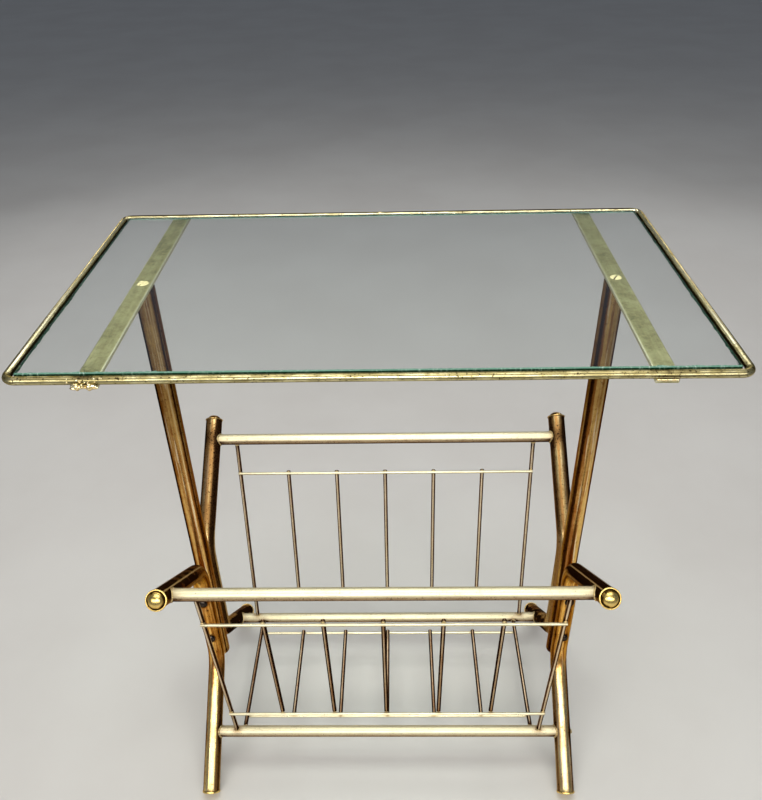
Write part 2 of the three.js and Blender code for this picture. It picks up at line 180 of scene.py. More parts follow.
def add_node(tree, kind, inputs=None, **settings):
    """A shader node. Inputs are sockets to link or values to set, by name or number."""
    node = tree.nodes.new(kind)
    for key, value in settings.items():
        setattr(node, key, value)
    for key, value in (inputs or {}).items():
        if isinstance(value, bpy.types.NodeSocket):
            tree.links.new(value, node.inputs[key])
        else:
            node.inputs[key].default_value = value
    return node


def cloud(tree, vector, scale, detail, roughness=0.55, distortion=0.0):
    """Noise from 0 to 1. A scale of 100 has features of about 10 mm."""
    inputs = {"Vector": vector, "Scale": scale, "Detail": detail, "Roughness": roughness}
    inputs["Distortion"] = distortion
    return add_node(tree, "ShaderNodeTexNoise", inputs).outputs["Fac"]


def ramp(tree, value, low, high, out_low=0.0, out_high=1.0):
    """A value mapped smoothly from low..high to out_low..out_high, held at both ends."""
    inputs = dict(zip(("From Min", "From Max", "To Min", "To Max"), (low, high, out_low, out_high)))
    inputs["Value"] = value
    node = add_node(tree, "ShaderNodeMapRange", inputs, interpolation_type="SMOOTHSTEP")
    return node.outputs["Result"]


def calc(tree, operation, a, *others, clamp=False):
    """One operation on values in turn. With clamp, each result is held between 0 and 1."""
    for b in others:
        node = add_node(tree, "ShaderNodeMath", {0: a, 1: b}, operation=operation, use_clamp=clamp)
        a = node.outputs[0]
    return a


def blend_colour(tree, factor, a, b, how="MIX"):
    inputs = {0: factor, 6: a, 7: b}
    return add_node(tree, "ShaderNodeMix", inputs, data_type="RGBA", blend_type=how).outputs[2]


def attribute(tree, name, output="Fac"):
    return add_node(tree, "ShaderNodeAttribute", attribute_name=name).outputs[output]


def new_material(name):
    """An empty node material, its tree, and the place on the object as a socket."""
    material = bpy.data.materials.new(name)
    material.use_nodes = True
    tree = material.node_tree
    tree.nodes.clear()
    return material, tree, add_node(tree, "ShaderNodeTexCoord").outputs["Object"]


def output_surface(tree, shader):
    add_node(tree, "ShaderNodeOutputMaterial", {"Surface": shader.outputs[0]})


def bumps(tree, height, strength, depth):
    """A normal that a height from 0 to 1 tilts, as if it stood that deep."""
    inputs = {"Strength": strength, "Distance": depth, "Height": height}
    return add_node(tree, "ShaderNodeBump", inputs).outputs["Normal"]


# ---- Materials ---------------------------------------------------------------------------------


def brass(name, clean, tarnish, dark, roughness, tarnished, streaks_and_reflections, specks, shine=0.0):
    """Aged brass in three colours: clean, tarnished and dark; the dark one is for spots and stains and
    for painted shade.

    The other numbers say how rough it is, how much tarnish lies in patches and in streaks, which also
    stand in for banded reflections, how many dark specks it has, and how strong its painted highlight
    lines are.
    """
    material, tree, place = new_material(name)
    grain = attribute(tree, "grain", "Vector")
    wear = attribute(tree, "wear")
    rub = attribute(tree, "rub")

    blotch = cloud(tree, place, 30, 5, 0.6, 0.4)
    mottle = cloud(tree, place, 230, 5, 0.7)
    band = cloud(tree, grain, 260, 3, 0.6)
    line = cloud(tree, grain, 560, 1, 0.5)
    hairline = cloud(tree, grain, 2600, 2, 0.6)
    spots = cloud(tree, place, 620, 2, 0.5)
    pits = add_node(tree, "ShaderNodeTexVoronoi", {"Vector": place, "Scale": 330}).outputs["Distance"]

    # Tarnish gathers in blotches and in streaks, which also stand in for banded reflections, and where
    # the mesh's attributes paint tarnish, shade and dark reflections; painted highlights take it away
    # again.
    patchy = calc(
        tree, "ADD", ramp(tree, blotch, 0.36, 0.66, 0, 0.55), ramp(tree, mottle, 0.4, 0.7, 0, 0.45)
    )
    amount = calc(tree, "MULTIPLY", patchy, tarnished)
    amount = calc(tree, "ADD", amount, ramp(tree, band, 0.40, 0.62, 0, streaks_and_reflections), wear)
    amount = calc(tree, "SUBTRACT", amount, rub, clamp=True)
    colour = blend_colour(tree, amount, (*clean, 1), (*tarnish, 1))

    # Painted highlights: thin bright lines along the metal, and the bright marks that the highlight
    # attribute paints.
    bright = (*(min(1.0, 0.35 + channel * 0.75) for channel in clean), 1)
    unworn_unshaded = ramp(tree, wear, 0.1, 0.5, 1, 0)
    lines = calc(tree, "MULTIPLY", ramp(tree, line, 0.60, 0.68, 0, shine), unworn_unshaded)
    lines = calc(tree, "MAXIMUM", lines, ramp(tree, rub, 0.3, 1.0, 0, 0.8))
    colour = blend_colour(tree, lines, colour, bright)

    # Dark spots where the lacquer has gone, thicker where the attribute paints more tarnish and shade;
    # strong painted shade turns the colour, and its grazing reflection, dark as well.
    reach = ramp(tree, mottle, 0.45, 0.75, 0, 0.07)
    reach = calc(tree, "ADD", reach, calc(tree, "MULTIPLY", wear, 0.12))
    spotted = ramp(tree, calc(tree, "ADD", spots, reach), 0.66, 0.74, 0, specks)
    pitted = ramp(tree, pits, 0.10, 0.17, specks, 0)
    pitted = calc(tree, "MULTIPLY", pitted, ramp(tree, blotch, 0.45, 0.6))
    flaw_and_shade = calc(tree, "MAXIMUM", spotted, pitted)
    flaw_and_shade = calc(tree, "ADD", flaw_and_shade, ramp(tree, wear, 0.45, 1.0, 0, 0.9), clamp=True)
    colour = blend_colour(tree, flaw_and_shade, colour, (*dark, 1))
    # Painted light: a factor on the colour paints shade and highlights and shifts its tone.
    colour = blend_colour(tree, 1.0, colour, attribute(tree, "tint", "Vector"), "MULTIPLY")
    glance = blend_colour(tree, flaw_and_shade, (0.50, 0.38, 0.26, 1), (0.07, 0.05, 0.04, 1))

    tarnish_rough = calc(tree, "MULTIPLY", amount, 0.14)
    flaw_rough = calc(tree, "MULTIPLY", flaw_and_shade, 0.18)
    hair_rough = ramp(tree, hairline, 0.3, 0.7, -0.03, 0.05)
    rough = calc(tree, "ADD", tarnish_rough, roughness, flaw_rough, hair_rough)

    relief = calc(
        tree, "SUBTRACT", calc(tree, "MULTIPLY", mottle, 0.5), calc(tree, "MULTIPLY", flaw_and_shade, 0.6)
    )
    relief = calc(tree, "ADD", relief, calc(tree, "MULTIPLY", hairline, 0.10))
    inputs = {
        "Base Color": colour,
        "Metallic": 1.0,
        "Roughness": rough,
        "Specular Tint": glance,
        "Normal": bumps(tree, relief, 0.5, 0.06 * MM),
    }
    output_surface(tree, add_node(tree, "ShaderNodeBsdfPrincipled", inputs))
    return material


def clear_glass():
    """Float glass with a few smears on it. Lamps shine straight through."""
    material, tree, place = new_material("float_glass")
    smears = ramp(tree, cloud(tree, place, 14, 4, 0.6, 1.2), 0.55, 0.8, 0.0, 0.05)
    inputs = {"Base Color": (0.94, 0.975, 0.968, 1), "Roughness": smears, "IOR": 1.5}
    inputs["Transmission Weight"] = 1.0
    glass = add_node(tree, "ShaderNodeBsdfPrincipled", inputs).outputs[0]
    clear = add_node(tree, "ShaderNodeBsdfTransparent", {"Color": (0.90, 0.96, 0.94, 1)}).outputs[0]
    shadow = add_node(tree, "ShaderNodeLightPath").outputs["Is Shadow Ray"]
    output_surface(tree, add_node(tree, "ShaderNodeMixShader", {0: shadow, 1: glass, 2: clear}))
    return material


def ground_edge(name, deep, pale, roughness):
    """The pane's cut edge: green in its depth, with pale chips and grinding marks across it."""
    material, tree, place = new_material(name)
    marks = add_node(tree, "ShaderNodeMapping", {"Vector": place, "Scale": (1, 1, 0.15)}).outputs[0]
    chips = ramp(tree, cloud(tree, marks, 700, 3, 0.7), 0.52, 0.68)
    patches = ramp(tree, cloud(tree, place, 25, 3), 0.4, 0.65, 0.25, 1)
    amount = calc(tree, "MULTIPLY", chips, patches)
    colour = blend_colour(tree, amount, (*deep, 1), (*pale, 1))
    inputs = {"Base Color": colour, "Roughness": roughness, "IOR": 1.5}
    inputs["Normal"] = bumps(tree, chips, 0.6, 0.2 * MM)
    output_surface(tree, add_node(tree, "ShaderNodeBsdfPrincipled", inputs))
    return material


def floor_paint():
    material, tree, place = new_material("floor_paint")
    shade = ramp(tree, cloud(tree, place, 3, 4), 0.3, 0.7)
    colour = blend_colour(tree, shade, (0.62, 0.60, 0.57, 1), (0.66, 0.645, 0.615, 1))
    inputs = {"Base Color": colour, "Roughness": 0.6}
    output_surface(tree, add_node(tree, "ShaderNodeBsdfPrincipled", inputs))
    return material


# Each brass: its clean, tarnished and dark colours, then the other numbers that brass() takes.
BRASSES = {
    "leg": ((0.82, 0.58, 0.22), (0.33, 0.15, 0.04), (0.020, 0.006, 0.002), 0.25, 0.6, 0.7, 0.8, 0.6),
    "upright": (
        (0.82, 0.53, 0.17), (0.34, 0.125, 0.025), (0.018, 0.004, 0.001), 0.17, 0.6, 0.65, 0.6, 0.8
    ),
    "rail": ((0.92, 0.84, 0.57), (0.42, 0.25, 0.125), (0.06, 0.022, 0.01), 0.45, 0.2, 0.06, 0.4),
    "rim": ((0.86, 0.80, 0.49), (0.38, 0.32, 0.14), (0.04, 0.025, 0.01), 0.20, 0.8, 0.3, 1.0),
    "wire": ((0.84, 0.70, 0.48), (0.32, 0.16, 0.07), (0.022, 0.007, 0.003), 0.24, 0.5, 0.3, 0.4),
    "cross": ((0.92, 0.86, 0.60), (0.55, 0.42, 0.22), (0.05, 0.025, 0.012), 0.28, 0.35, 0.1, 0.3),
    # The strap's darker olive colour also stands in for the blue-grey wall that its flat top reflects:
    # a painted reflection.
    "strap": ((0.62, 0.60, 0.33), (0.22, 0.205, 0.095), (0.07, 0.055, 0.02), 0.34, 0.9, 0.2, 0.6),
    "cap": ((0.97, 0.72, 0.25), (0.68, 0.40, 0.09), (0.03, 0.014, 0.005), 0.24, 0.35, 0.1, 0.5),
    "fastener": (
        (0.065, 0.052, 0.043), (0.025, 0.018, 0.014), (0.012, 0.008, 0.006), 0.12, 0.7, 0.1, 0.7
    ),
    "weld": ((0.96, 0.80, 0.44), (0.60, 0.42, 0.18), (0.03, 0.012, 0.005), 0.26, 0.5, 0.1, 0.6),
    "screw": ((0.97, 0.86, 0.54), (0.60, 0.50, 0.28), (0.05, 0.035, 0.015), 0.66, 0.7, 0.1, 0.5),
}


def make_finishes():
    return {
        **{f"{name}_brass": brass(f"{name}_brass", *values) for name, values in BRASSES.items()},
        "clear_glass": clear_glass(),
        "glass_edge": ground_edge("glass_edge", (0.004, 0.030, 0.014), (0.20, 0.33, 0.25), 0.18),
        "glass_arris": ground_edge("glass_arris", (0.09, 0.22, 0.16), (0.50, 0.64, 0.56), 0.35),
    }


# ---- Mesh helpers ------------------------------------------------------------------------------


class Path:
    """A centreline: its points, unit tangents and the distance along it."""

    def __init__(self, points, tangents):
        self.points = np.array(points, float)
        self.tangents = np.array(tangents, float)
        steps = np.linalg.norm(np.diff(self.points, axis=0), axis=1)
        self.along = np.concatenate([[0.0], np.cumsum(steps)])

    @property
    def length(self):
        return self.along[-1]

    def at(self, distances):
        """The path resampled at these distances along it."""
        place = [np.interp(distances, self.along, self.points[:, k]) for k in range(3)]
        facing = [np.interp(distances, self.along, self.tangents[:, k]) for k in range(3)]
        facing = np.stack(facing, 1)
        return Path(np.stack(place, 1), facing / np.linalg.norm(facing, axis=1)[:, None])


def unit(vector):
    vector = np.array(vector, float)
    return vector / np.linalg.norm(vector)


def straight_path(start, end, step):
    start, end = np.array(start, float), np.array(end, float)
    count = max(2, round(np.linalg.norm(end - start) / step) + 1)
    share = np.linspace(0, 1, count)[:, None]
    return Path(start + (end - start) * share, np.tile(unit(end - start), (count, 1)))


def bent_path(corners, bend_radius, step, bend_step):
    """Straight runs between corners, joined by round bends that touch both runs."""
    corners = [np.array(c, float) for c in corners]
    points, tangents = [], []
    start = corners[0]
    for before, corner, after in zip(corners, corners[1:], corners[2:]):
        into, out = unit(corner - before), unit(after - corner)
        turn = math.acos(np.dot(into, out))
        axis = unit(np.cross(into, out))
        begin = corner - into * bend_radius * math.tan(turn / 2)
        run = straight_path(start, begin, step)
        points.extend(run.points[:-1])
        tangents.extend(run.tangents[:-1])
        hub = begin + np.cross(axis, into) * bend_radius
        for angle in np.linspace(0, turn, max(3, round(turn * bend_radius / bend_step))):
            spin = np.array(Matrix.Rotation(angle, 3, Vector(axis)))
            points.append(hub + spin @ (begin - hub))
            tangents.append(spin @ into)
        start = points.pop()
        tangents.pop()
    run = straight_path(start, corners[-1], step)
    points.extend(run.points)
    tangents.extend(run.tangents)
    return Path(points, tangents)


def spokes(path, reference):
    """Two unit vectors across each station of a path. The reference is never along the path."""
    side = np.cross(path.tangents, reference)
    side /= np.linalg.norm(side, axis=1)[:, None]
    return side, np.cross(side, path.tangents)


def circles(path, radii, sides, reference):
    """A ring of points round each station of a path, with its own radius."""
    side, up = spokes(path, reference)
    angle = np.linspace(0, 2 * math.pi, sides, endpoint=False)[None, :, None]
    spoke = np.cos(angle) * side[:, None, :] + np.sin(angle) * up[:, None, :]
    radii = np.broadcast_to(radii, len(path.points))
    return path.points[:, None, :] + radii[:, None, None] * spoke


def loft(rings, closed=False):
    """A skin through rings of points. A ring of one point closes it to a tip."""
    rings = [np.atleast_2d(ring) for ring in rings]
    first = np.concatenate([[0], np.cumsum([len(ring) for ring in rings])])
    faces = []
    pairs = list(zip(range(len(rings)), range(1, len(rings))))
    if closed:
        pairs.append((len(rings) - 1, 0))
    for a, b in pairs:
        size_a, size_b = len(rings[a]), len(rings[b])
        for i in range(max(size_a, size_b)):
            j = (i + 1) % max(size_a, size_b)
            near = [int(first[a]) + k % size_a for k in (i, j)]
            far = [int(first[b]) + k % size_b for k in (j, i)]
            faces.append(tuple(dict.fromkeys(near + far)))
    return np.concatenate(rings), faces


def merged(shapes):
    """Several shapes as one."""
    vertices, faces, count = [], [], 0
    for points, polygons in shapes:
        vertices.append(points)
        faces.extend(tuple(i + count for i in polygon) for polygon in polygons)
        count += len(points)
    return np.concatenate(vertices), faces


def with_edges(path, radius, edge):
    """A path's stations with those of a rounded edge at both ends, and the radius at each."""
    angle = np.linspace(0, math.pi / 2, 5)
    near, curve = edge * (1 - np.cos(angle)), radius - edge + edge * np.sin(angle)
    inner = path.along[(path.along > edge * 1.5) & (path.along < path.length - edge * 1.5)]
    distances = np.concatenate([near, inner, path.length - near[::-1]])
    radii = np.concatenate([curve, np.full(len(inner), radius), curve[::-1]])
    return path.at(distances), radii


def rod(path, radius, sides, reference, edge):
    """A solid round rod with rounded end edges."""
    stations, radii = with_edges(path, radius, edge)
    rings = list(circles(stations, radii, sides, reference))
    return loft([path.points[0], *rings, path.points[-1]])


def tube(path, radius, wall, sides, reference):
    """A hollow tube, open at both ends."""
    stations, radii = with_edges(path, radius, TUBE_EDGE)
    outer = list(circles(stations, radii, sides, reference))
    inner = list(circles(path, radius - wall, sides, reference))
    return loft([*outer, *reversed(inner)], closed=True)


def rounded_outline(corners, steps=5):
    """Points of an outline whose corners (a, b, radius) are rounded; a radius of 0 stays sharp."""
    points = []
    for i, (a, b, radius) in enumerate(corners):
        here = np.array((a, b), float)
        if radius == 0 or i in (0, len(corners) - 1):
            points.append(here)
            continue
        into = unit(here - np.array(corners[i - 1][:2]))
        out = unit(np.array(corners[i + 1][:2]) - here)
        turn = math.acos(max(-1.0, min(1.0, float(np.dot(into, out)))))
        reach = radius * math.tan(turn / 2)
        begin, finish = here - into * reach, here + out * reach
        for share in np.linspace(0, 1, steps + 1):
            rest = 1 - share
            points.append(begin * rest**2 + here * 2 * share * rest + finish * share**2)
    return points


def revolved(profile, base, direction, sides):
    """A turned shape: profile points (radius, distance) about the line from base along direction."""
    direction = unit(direction)
    helper = X_AXIS if abs(direction[0]) < 0.9 else Y_AXIS
    side = unit(np.cross(direction, helper))
    up = np.cross(direction, side)
    angle = np.linspace(0, 2 * math.pi, sides, endpoint=False)[:, None]
    spoke = np.cos(angle) * side + np.sin(angle) * up
    rings = []
    for radius, distance in profile:
        middle = np.array(base) + direction * distance
        rings.append(middle[None] if radius <= 0 else middle + spoke * radius)
    return loft(rings)


def dome(radius, height, start, steps=10):
    """Profile points of a dome from its rim at `start` to its crown."""
    return [
        (radius * math.cos(angle) if step < steps else 0, start + height * math.sin(angle), 0)
        for step, angle in enumerate(np.linspace(0, math.pi / 2, steps + 1))
    ]


def bead(path, radius, seed, reference, lumps, closed=False, ripple=2.2 * MM):
    """A weld bead along a path: rippled, uneven, and tapered where it ends."""
    offset = Vector((seed * 7.3, seed * 1.7, 0))
    radii = []
    for point, along in zip(path.points, path.along):
        rough = noise.noise(Vector(point) * 420 + offset)
        wave = math.sin(2 * math.pi * along / ripple)
        taper = 1.0
        if not closed:
            share = 2 * along / path.length - 1
            taper = math.sqrt(max(0.0, 1 - abs(share) ** 5))
        radii.append(radius * taper * (1 + lumps * rough + 0.06 * wave))
    rings = list(circles(path, np.array(radii), BEAD_SIDES, reference))
    if closed:
        return loft(rings, closed=True)
    return loft([path.points[0], *rings[1:-1], path.points[-1]])


def blob(middle, radii, seed, lumps=0.2, rows=9, columns=14):
    """A lump of weld metal with a radius along each axis."""
    rings = []
    for polar in np.linspace(0, math.pi, rows + 1):
        count = 1 if polar in (0, math.pi) else columns
        turn = np.linspace(0, 2 * math.pi, count, endpoint=False)
        wide = math.sin(polar)
        ring = np.stack([wide * np.cos(turn), wide * np.sin(turn), np.full(count, math.cos(polar))], 1)
        swell = [1 + lumps * noise.noise(Vector(d) * 1.7 + Vector((seed * 3.1, seed, 0))) for d in ring]
        rings.append(np.array(middle) + ring * np.array(swell)[:, None] * np.array(radii))
    return loft(rings)


# ---- Making pieces -----------------------------------------------------------------------------

joints = []          # (point, reach, strength) of the dark halo round every weld and bolt
finishes = make_finishes()


def mesh_object(name, shape):
    vertices, faces = shape
    mesh = bpy.data.meshes.new(name)
    mesh.from_pydata([tuple(v) for v in vertices], [], faces)
    work = bmesh.new()
    work.from_mesh(mesh)
    bmesh.ops.recalc_face_normals(work, faces=work.faces)
    work.to_mesh(mesh)
    work.free()
    item = bpy.data.objects.new(name, mesh)
    bpy.context.scene.collection.objects.link(item)
    return item


def carve(item, cutters):
    """Takes each cutter's shape away from the object."""
    tools = [mesh_object(f"cutter_{i}", shape) for i, shape in enumerate(cutters)]
    for tool in tools:
        cut = item.modifiers.new("cut", "BOOLEAN")
        cut.object = tool
        cut.solver = "EXACT"
    graph = bpy.context.evaluated_depsgraph_get()
    carved = bpy.data.meshes.new_from_object(item.evaluated_get(graph))
    item.modifiers.clear()
    old = item.data
    item.data = carved
    bpy.data.meshes.remove(old)
    for tool in tools:
        bpy.data.objects.remove(tool)


def around(vertices, path, reference):
    """Where points lie beside a path, along its two spokes, and how far along it."""
    side, up = spokes(path, reference)
    gaps = np.linalg.norm(vertices[:, None, :] - path.points[None, :, :], axis=2)
    nearest = gaps.argmin(axis=1)
    local = vertices - path.points[nearest]
    across = [np.einsum("ij,ij->i", local, axis[nearest]) for axis in (side, up)]
    along = path.along[nearest] + np.einsum("ij,ij->i", local, path.tangents[nearest])
    return across[0], across[1], along


def grain_of(vertices, path, reference, seed):
    """Coordinates that follow the metal: across it, and drawn out along it."""
    if path is None:
        return vertices
    side, up, along = around(vertices, path, reference)
    return np.stack([side + seed * 0.31, up, along * GRAIN_STRETCH], 1)


def joint_stain_and_shade(vertices):
    """Dark halo round welds and bolts, from 0 to 1: a stain round welds, and round bolts a painted
    shade.
    """
    halo = np.zeros(len(vertices))
    for point, reach, strength in joints:
        gap = np.linalg.norm(vertices - point, axis=1)
        halo = np.maximum(halo, strength * np.exp(-((gap / reach) ** 2)))
    return halo


def set_attribute(mesh, name, values):
    kind = "FLOAT" if values.ndim == 1 else "FLOAT_VECTOR"
    layer = mesh.attributes.new(name, kind, "POINT")
    layer.data.foreach_set("value" if values.ndim == 1 else "vector", values.astype(np.float32).ravel())


def painter(function):
    """Lets a function that paints vertices be given its other arguments first."""
    return lambda *details: lambda vertices: function(vertices, *details)


def finish_piece(
    item, finish, path=None, reference=X_AXIS, node=None, halo=1.0, wear=None, rub=None, tint=None
):
    """Smooths a piece, gives it its attributes and material, and puts it on the frame's body."""
    mesh = item.data
    mesh.shade_smooth()
    mesh.set_sharp_from_angle(angle=SHARP_ANGLE)
    vertices = np.array([v.co for v in mesh.vertices], float)
    seed = random.Random(item.name).random()
    set_attribute(mesh, "grain", grain_of(vertices, path, reference, seed))
    # Painted light goes into the attributes: painted shade and dark reflections along with the tarnish,
    # painted highlights, and a factor on the colour.
    amount = joint_stain_and_shade(vertices) * halo
    if wear is not None:
        amount = amount + wear(vertices)
    highlighted = np.zeros(len(vertices)) if rub is None else np.clip(rub(vertices), 0, 1)
    set_attribute(mesh, "wear", np.clip(amount, 0, 1.2) * (1 - highlighted))
    set_attribute(mesh, "rub", highlighted)
    set_attribute(mesh, "tint", np.ones_like(vertices) if tint is None else tint(vertices))
    mesh.materials.clear()
    mesh.materials.append(finishes[finish])
    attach(item, "frame")
    if node:
        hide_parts(node)
    return item


def add_piece(node, shape, finish, slot=None, carved=(), **details):
    """A fine mesh that stands for a CAD node."""
    item = mesh_object(f"{node}_fine", shape)
    if carved:
        carve(item, carved)
    finish_piece(item, finish, node=node, **details)
    return item


def add_welds(name, shapes, halo=0.0, shine=0.4, finish="weld_brass", **details):
    """Weld metal, which no CAD node stands for."""
    # Unless told otherwise, the weld metal is painted evenly brighter by shine, a painted highlight.
    details.setdefault("rub", lambda vertices: np.full(len(vertices), shine))
    item = finish_piece(mesh_object(name, merged(shapes)), finish, halo=halo, **details)
    return item


# ---- Layout of the legs and rails --------------------------------------------------------------


def leg_corners(x, end):
    """Corners of a leg's centreline, from its foot up. A front leg's end is -1, a back leg's 1."""
    middle = LEG_OFFSET * end
    return [
        (x, LEG_FOOT[0] * end, LEG_FOOT[1]),
        (x, middle, LEG_LOW_BEND_Z),
        (x, middle, LEG_HIGH_BEND_Z),
        (x, LEG_ARM_END[0] * end, LEG_ARM_END[1]),
    ]


def rail_leg_direction(end, level):
    """Direction of the part of the leg that a rail meets."""
    corners = np.array(leg_corners(0, end))
    low, high = (corners[0], corners[1]) if level == "bottom" else (corners[2], corners[3])
    return unit(high - low)


def cope(angle, radius, direction, leg_radius):
    """How far short of the leg's axis a rail's wall stops, at each angle round the rail."""
    across = radius * (np.cos(angle) * direction[2] - np.sin(angle) * direction[1])
    return np.sqrt(leg_radius**2 - across**2)


def side_x(side):
    return centre(f"upright_{'left' if side < 0 else 'right'}")[0]


def all_rails():
    """(node, axis point, direction of the leg it meets) of each rail."""
    for end_name, end in ENDS:
        for level in ("top", "bottom"):
            node = f"{end_name}_{level}_rail"
            yield node, centre(node), rail_leg_direction(end, level)


def wire_ends(node, direction):
    """Both ends of a straight wire, from its box and its direction."""
    middle, size = centre(node), extent(node)
    across = 2 * LONG_WIRE_RADIUS * math.hypot(direction[1], direction[0])
    if abs(direction[2]) > 0.5:
        length = (size[2] - across) / abs(direction[2])
    else:
        length = size[int(np.argmax(np.abs(direction)))]
    half = np.array(direction) * length / 2
    return middle - half, middle + half


def panel_direction(panel):
    """Unit vector along a panel's long wires."""
    if panel == "bottom_panel":
        return Y_AXIS
    end = panel.split("_")[0]
    return unit((centre(f"{end}_bottom_rail") - centre(f"{end}_top_rail")) * (0, 1, 1))


PANELS = ("front_panel", "back_panel", "bottom_panel")


def wires(panel, kind="wire"):
    """A panel's long wires, or its cross wires with the kind cross_wire, in order."""
    return sorted(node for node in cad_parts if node.startswith(f"{panel}_{kind}_"))


def note_joints():
    """Collects the places of all welds and bolts, before any piece is painted."""
    for _, point, _ in all_rails():
        for _, side in SIDES:
            joints.append((np.array((side_x(side), point[1], point[2])), 12 * MM, 0.75))
    for panel in PANELS:
        for node in wires(panel)[:: len(wires(panel)) - 1]:
            for end in wire_ends(node, panel_direction(panel)):
                joints.append((end, 5 * MM, 0.9))
        for long_wire in wires(panel):
            for cross in wires(panel, "cross_wire"):
                joints.append((crossing(long_wire, cross), 3 * MM, 0.7))
    for side_name, side in SIDES:
        for height in ("lower", "upper"):
            bolt = centre(f"bolt_{side_name}_{height}")
            for end in (-1, 1):
                face = np.array((bolt[0], (LEG_OFFSET + TUBE_RADIUS) * end, bolt[2]))
                # Round each bolt head the halo is a painted shade beside the head.
                joints.append((face, 6.5 * MM, 1.4))
        low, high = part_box(f"strap_{side_name}")
        for y in (low[1], high[1]):
            joints.append((np.array((side_x(side), y, high[2])), 12 * MM, 0.3))


def crossing(long_wire, cross_wire):
    """The point between two wires where they cross."""
    cross = centre(cross_wire)
    long_middle = centre(long_wire)
    panel = long_wire.rsplit("_wire_", 1)[0]
    direction = panel_direction(panel)
    on_long = long_middle + direction * np.dot(cross - long_middle, direction)
    on_cross = np.array((long_middle[0], cross[1], cross[2]))
    return (on_long + on_cross) / 2


# ---- Side frames -------------------------------------------------------------------------------


def bolt_hole_cutters(x, y):
    cutters = []
    for height in ("lower", "upper"):
        z = centre(f"bolt_left_{height}")[2]
        path = straight_path((x, y - 2 * TUBE_RADIUS, z), (x, y + 2 * TUBE_RADIUS, z), TUBE_RADIUS)
        cutters.append(rod(path, BOLT_HOLE_RADIUS, 32, X_AXIS, 0.1 * MM))
    return cutters


def smooth(values, low, high):
    """0 below low, 1 above high and smooth between."""
    share = np.clip((values - low) / (high - low), 0, 1)
    return share * share * (3 - 2 * share)


def stripe(across, place, width):
    """1 on a thin line down a tube, fading to 0 beside it. Places run from -1 to 1 across it."""
    return np.exp(-(((across - place) / width) ** 2))


def broken(vertices, seed, scale=45):
    """Patches from 0 to 1 that break up a painted line."""
    offset = Vector((seed * 5.1, seed * 2.3, seed * 0.7))
    rough = np.array([noise.noise(Vector(v) * scale + offset) for v in vertices])
    return smooth(rough, -0.25, 0.15)


def flank(across, start, full):
    """1 down a band near one side of a tube, fading again on the side itself."""
    return smooth(across, start, full) * (1 - 0.65 * smooth(across, 0.94, 0.99))


@painter
def leg_shade(vertices, path, side, end):
    """Painted shade and dark painted reflections on a leg: dark bands down its flanks, dark lines
    between a front leg's bends and the top of its arm nearly black; a back leg's arm darker and its
    foot in painted shadow.
    """
    facing, across, _ = around(vertices, path, X_AXIS)
    facing, across, rise = facing / TUBE_RADIUS, across / TUBE_RADIUS, vertices[:, 2]
    arm = smooth(rise, LEG_HIGH_BEND_Z - 5 * MM, LEG_HIGH_BEND_Z + 25 * MM)
    foot = 1 - smooth(rise, LEG_LOW_BEND_Z - 15 * MM, LEG_LOW_BEND_Z + 10 * MM)
    if end > 0:
        left, right = flank(-across, 0.5, 0.85), flank(across, 0.3, 0.75)
        patches = 0.5 + 0.5 * broken(vertices, 8, 90)
        return 0.5 * left + 0.9 * right + 0.4 * arm + 0.75 * foot * patches
    dark_reflection_lines = 0.8 * stripe(across, -0.86, 0.10)
    dark_reflection_lines += 0.6 * stripe(across, 0.42, 0.12) * broken(vertices, 4, 60)
    middle = dark_reflection_lines + 0.8 * flank(across, 0.75, 0.93)
    cover = 1 if side > 0 else 0.6 + 0.4 * broken(vertices, 7, 80)
    top = 0.3 + 0.75 * smooth(facing, -0.35, 0.15) * cover
    flanks = 0.75 * flank(-across, 0.68, 0.9) + 0.85 * flank(across, 0.5, 0.85)
    return flanks * foot + middle * (1 - foot) * (1 - arm) + top * arm


@painter
def leg_tone_and_highlight(vertices, side, end):
    """A factor on a leg's colour: paler on a back leg, amber between a front leg's bends, and paler
    below them, a painted highlight.
    """
    if end > 0:
        return np.tile((1.17, 1.33, 1.7), (len(vertices), 1))
    rise = vertices[:, 2]
    amber = smooth(rise, LEG_LOW_BEND_Z - 15 * MM, LEG_LOW_BEND_Z + 15 * MM)
    amber *= 1 - smooth(rise, LEG_HIGH_BEND_Z - 10 * MM, LEG_HIGH_BEND_Z + 20 * MM)
    foot = 1 - smooth(rise, LEG_LOW_BEND_Z - 25 * MM, LEG_LOW_BEND_Z)
    pale = np.array((-0.05, 0.05, 0.3)) if side > 0 else np.array((0.0, 0.05, 0.12))
    return 1 + amber[:, None] * np.array((0.22, -0.06, -0.46)) + foot[:, None] * pale


@painter
def leg_highlights(vertices, x, side, end):
    """Painted highlights on a front leg: a broad one down the front of its lower part, streaks between
    its bends, and lines along its arm.
    """
    if end > 0:
        return np.zeros(len(vertices))
    across = (vertices[:, 0] - x) / TUBE_RADIUS
    foot = 1 - smooth(vertices[:, 2], LEG_LOW_BEND_Z - 25 * MM, LEG_LOW_BEND_Z)
    arm = smooth(vertices[:, 2], LEG_HIGH_BEND_Z, LEG_HIGH_BEND_Z + 15 * MM)
    lines = 0.9 * stripe(across * side, 0.35, 0.06) + 0.9 * stripe(across * side, -0.62, 0.06)
    edge = 0.5 * stripe(across * side, 0.8, 0.12) * broken(vertices, side + 3)
    streaks_and_reflections = 0.9 * stripe(across, 0.12, 0.10) * broken(vertices, 11, 30)
    streaks_and_reflections += 0.7 * stripe(across, -0.55, 0.07)
    front = 0.42 * (1 - smooth(np.abs(across + 0.1), 0.5, 0.8))
    return foot * front + (1 - foot) * (1 - arm) * streaks_and_reflections + arm * (lines + edge)


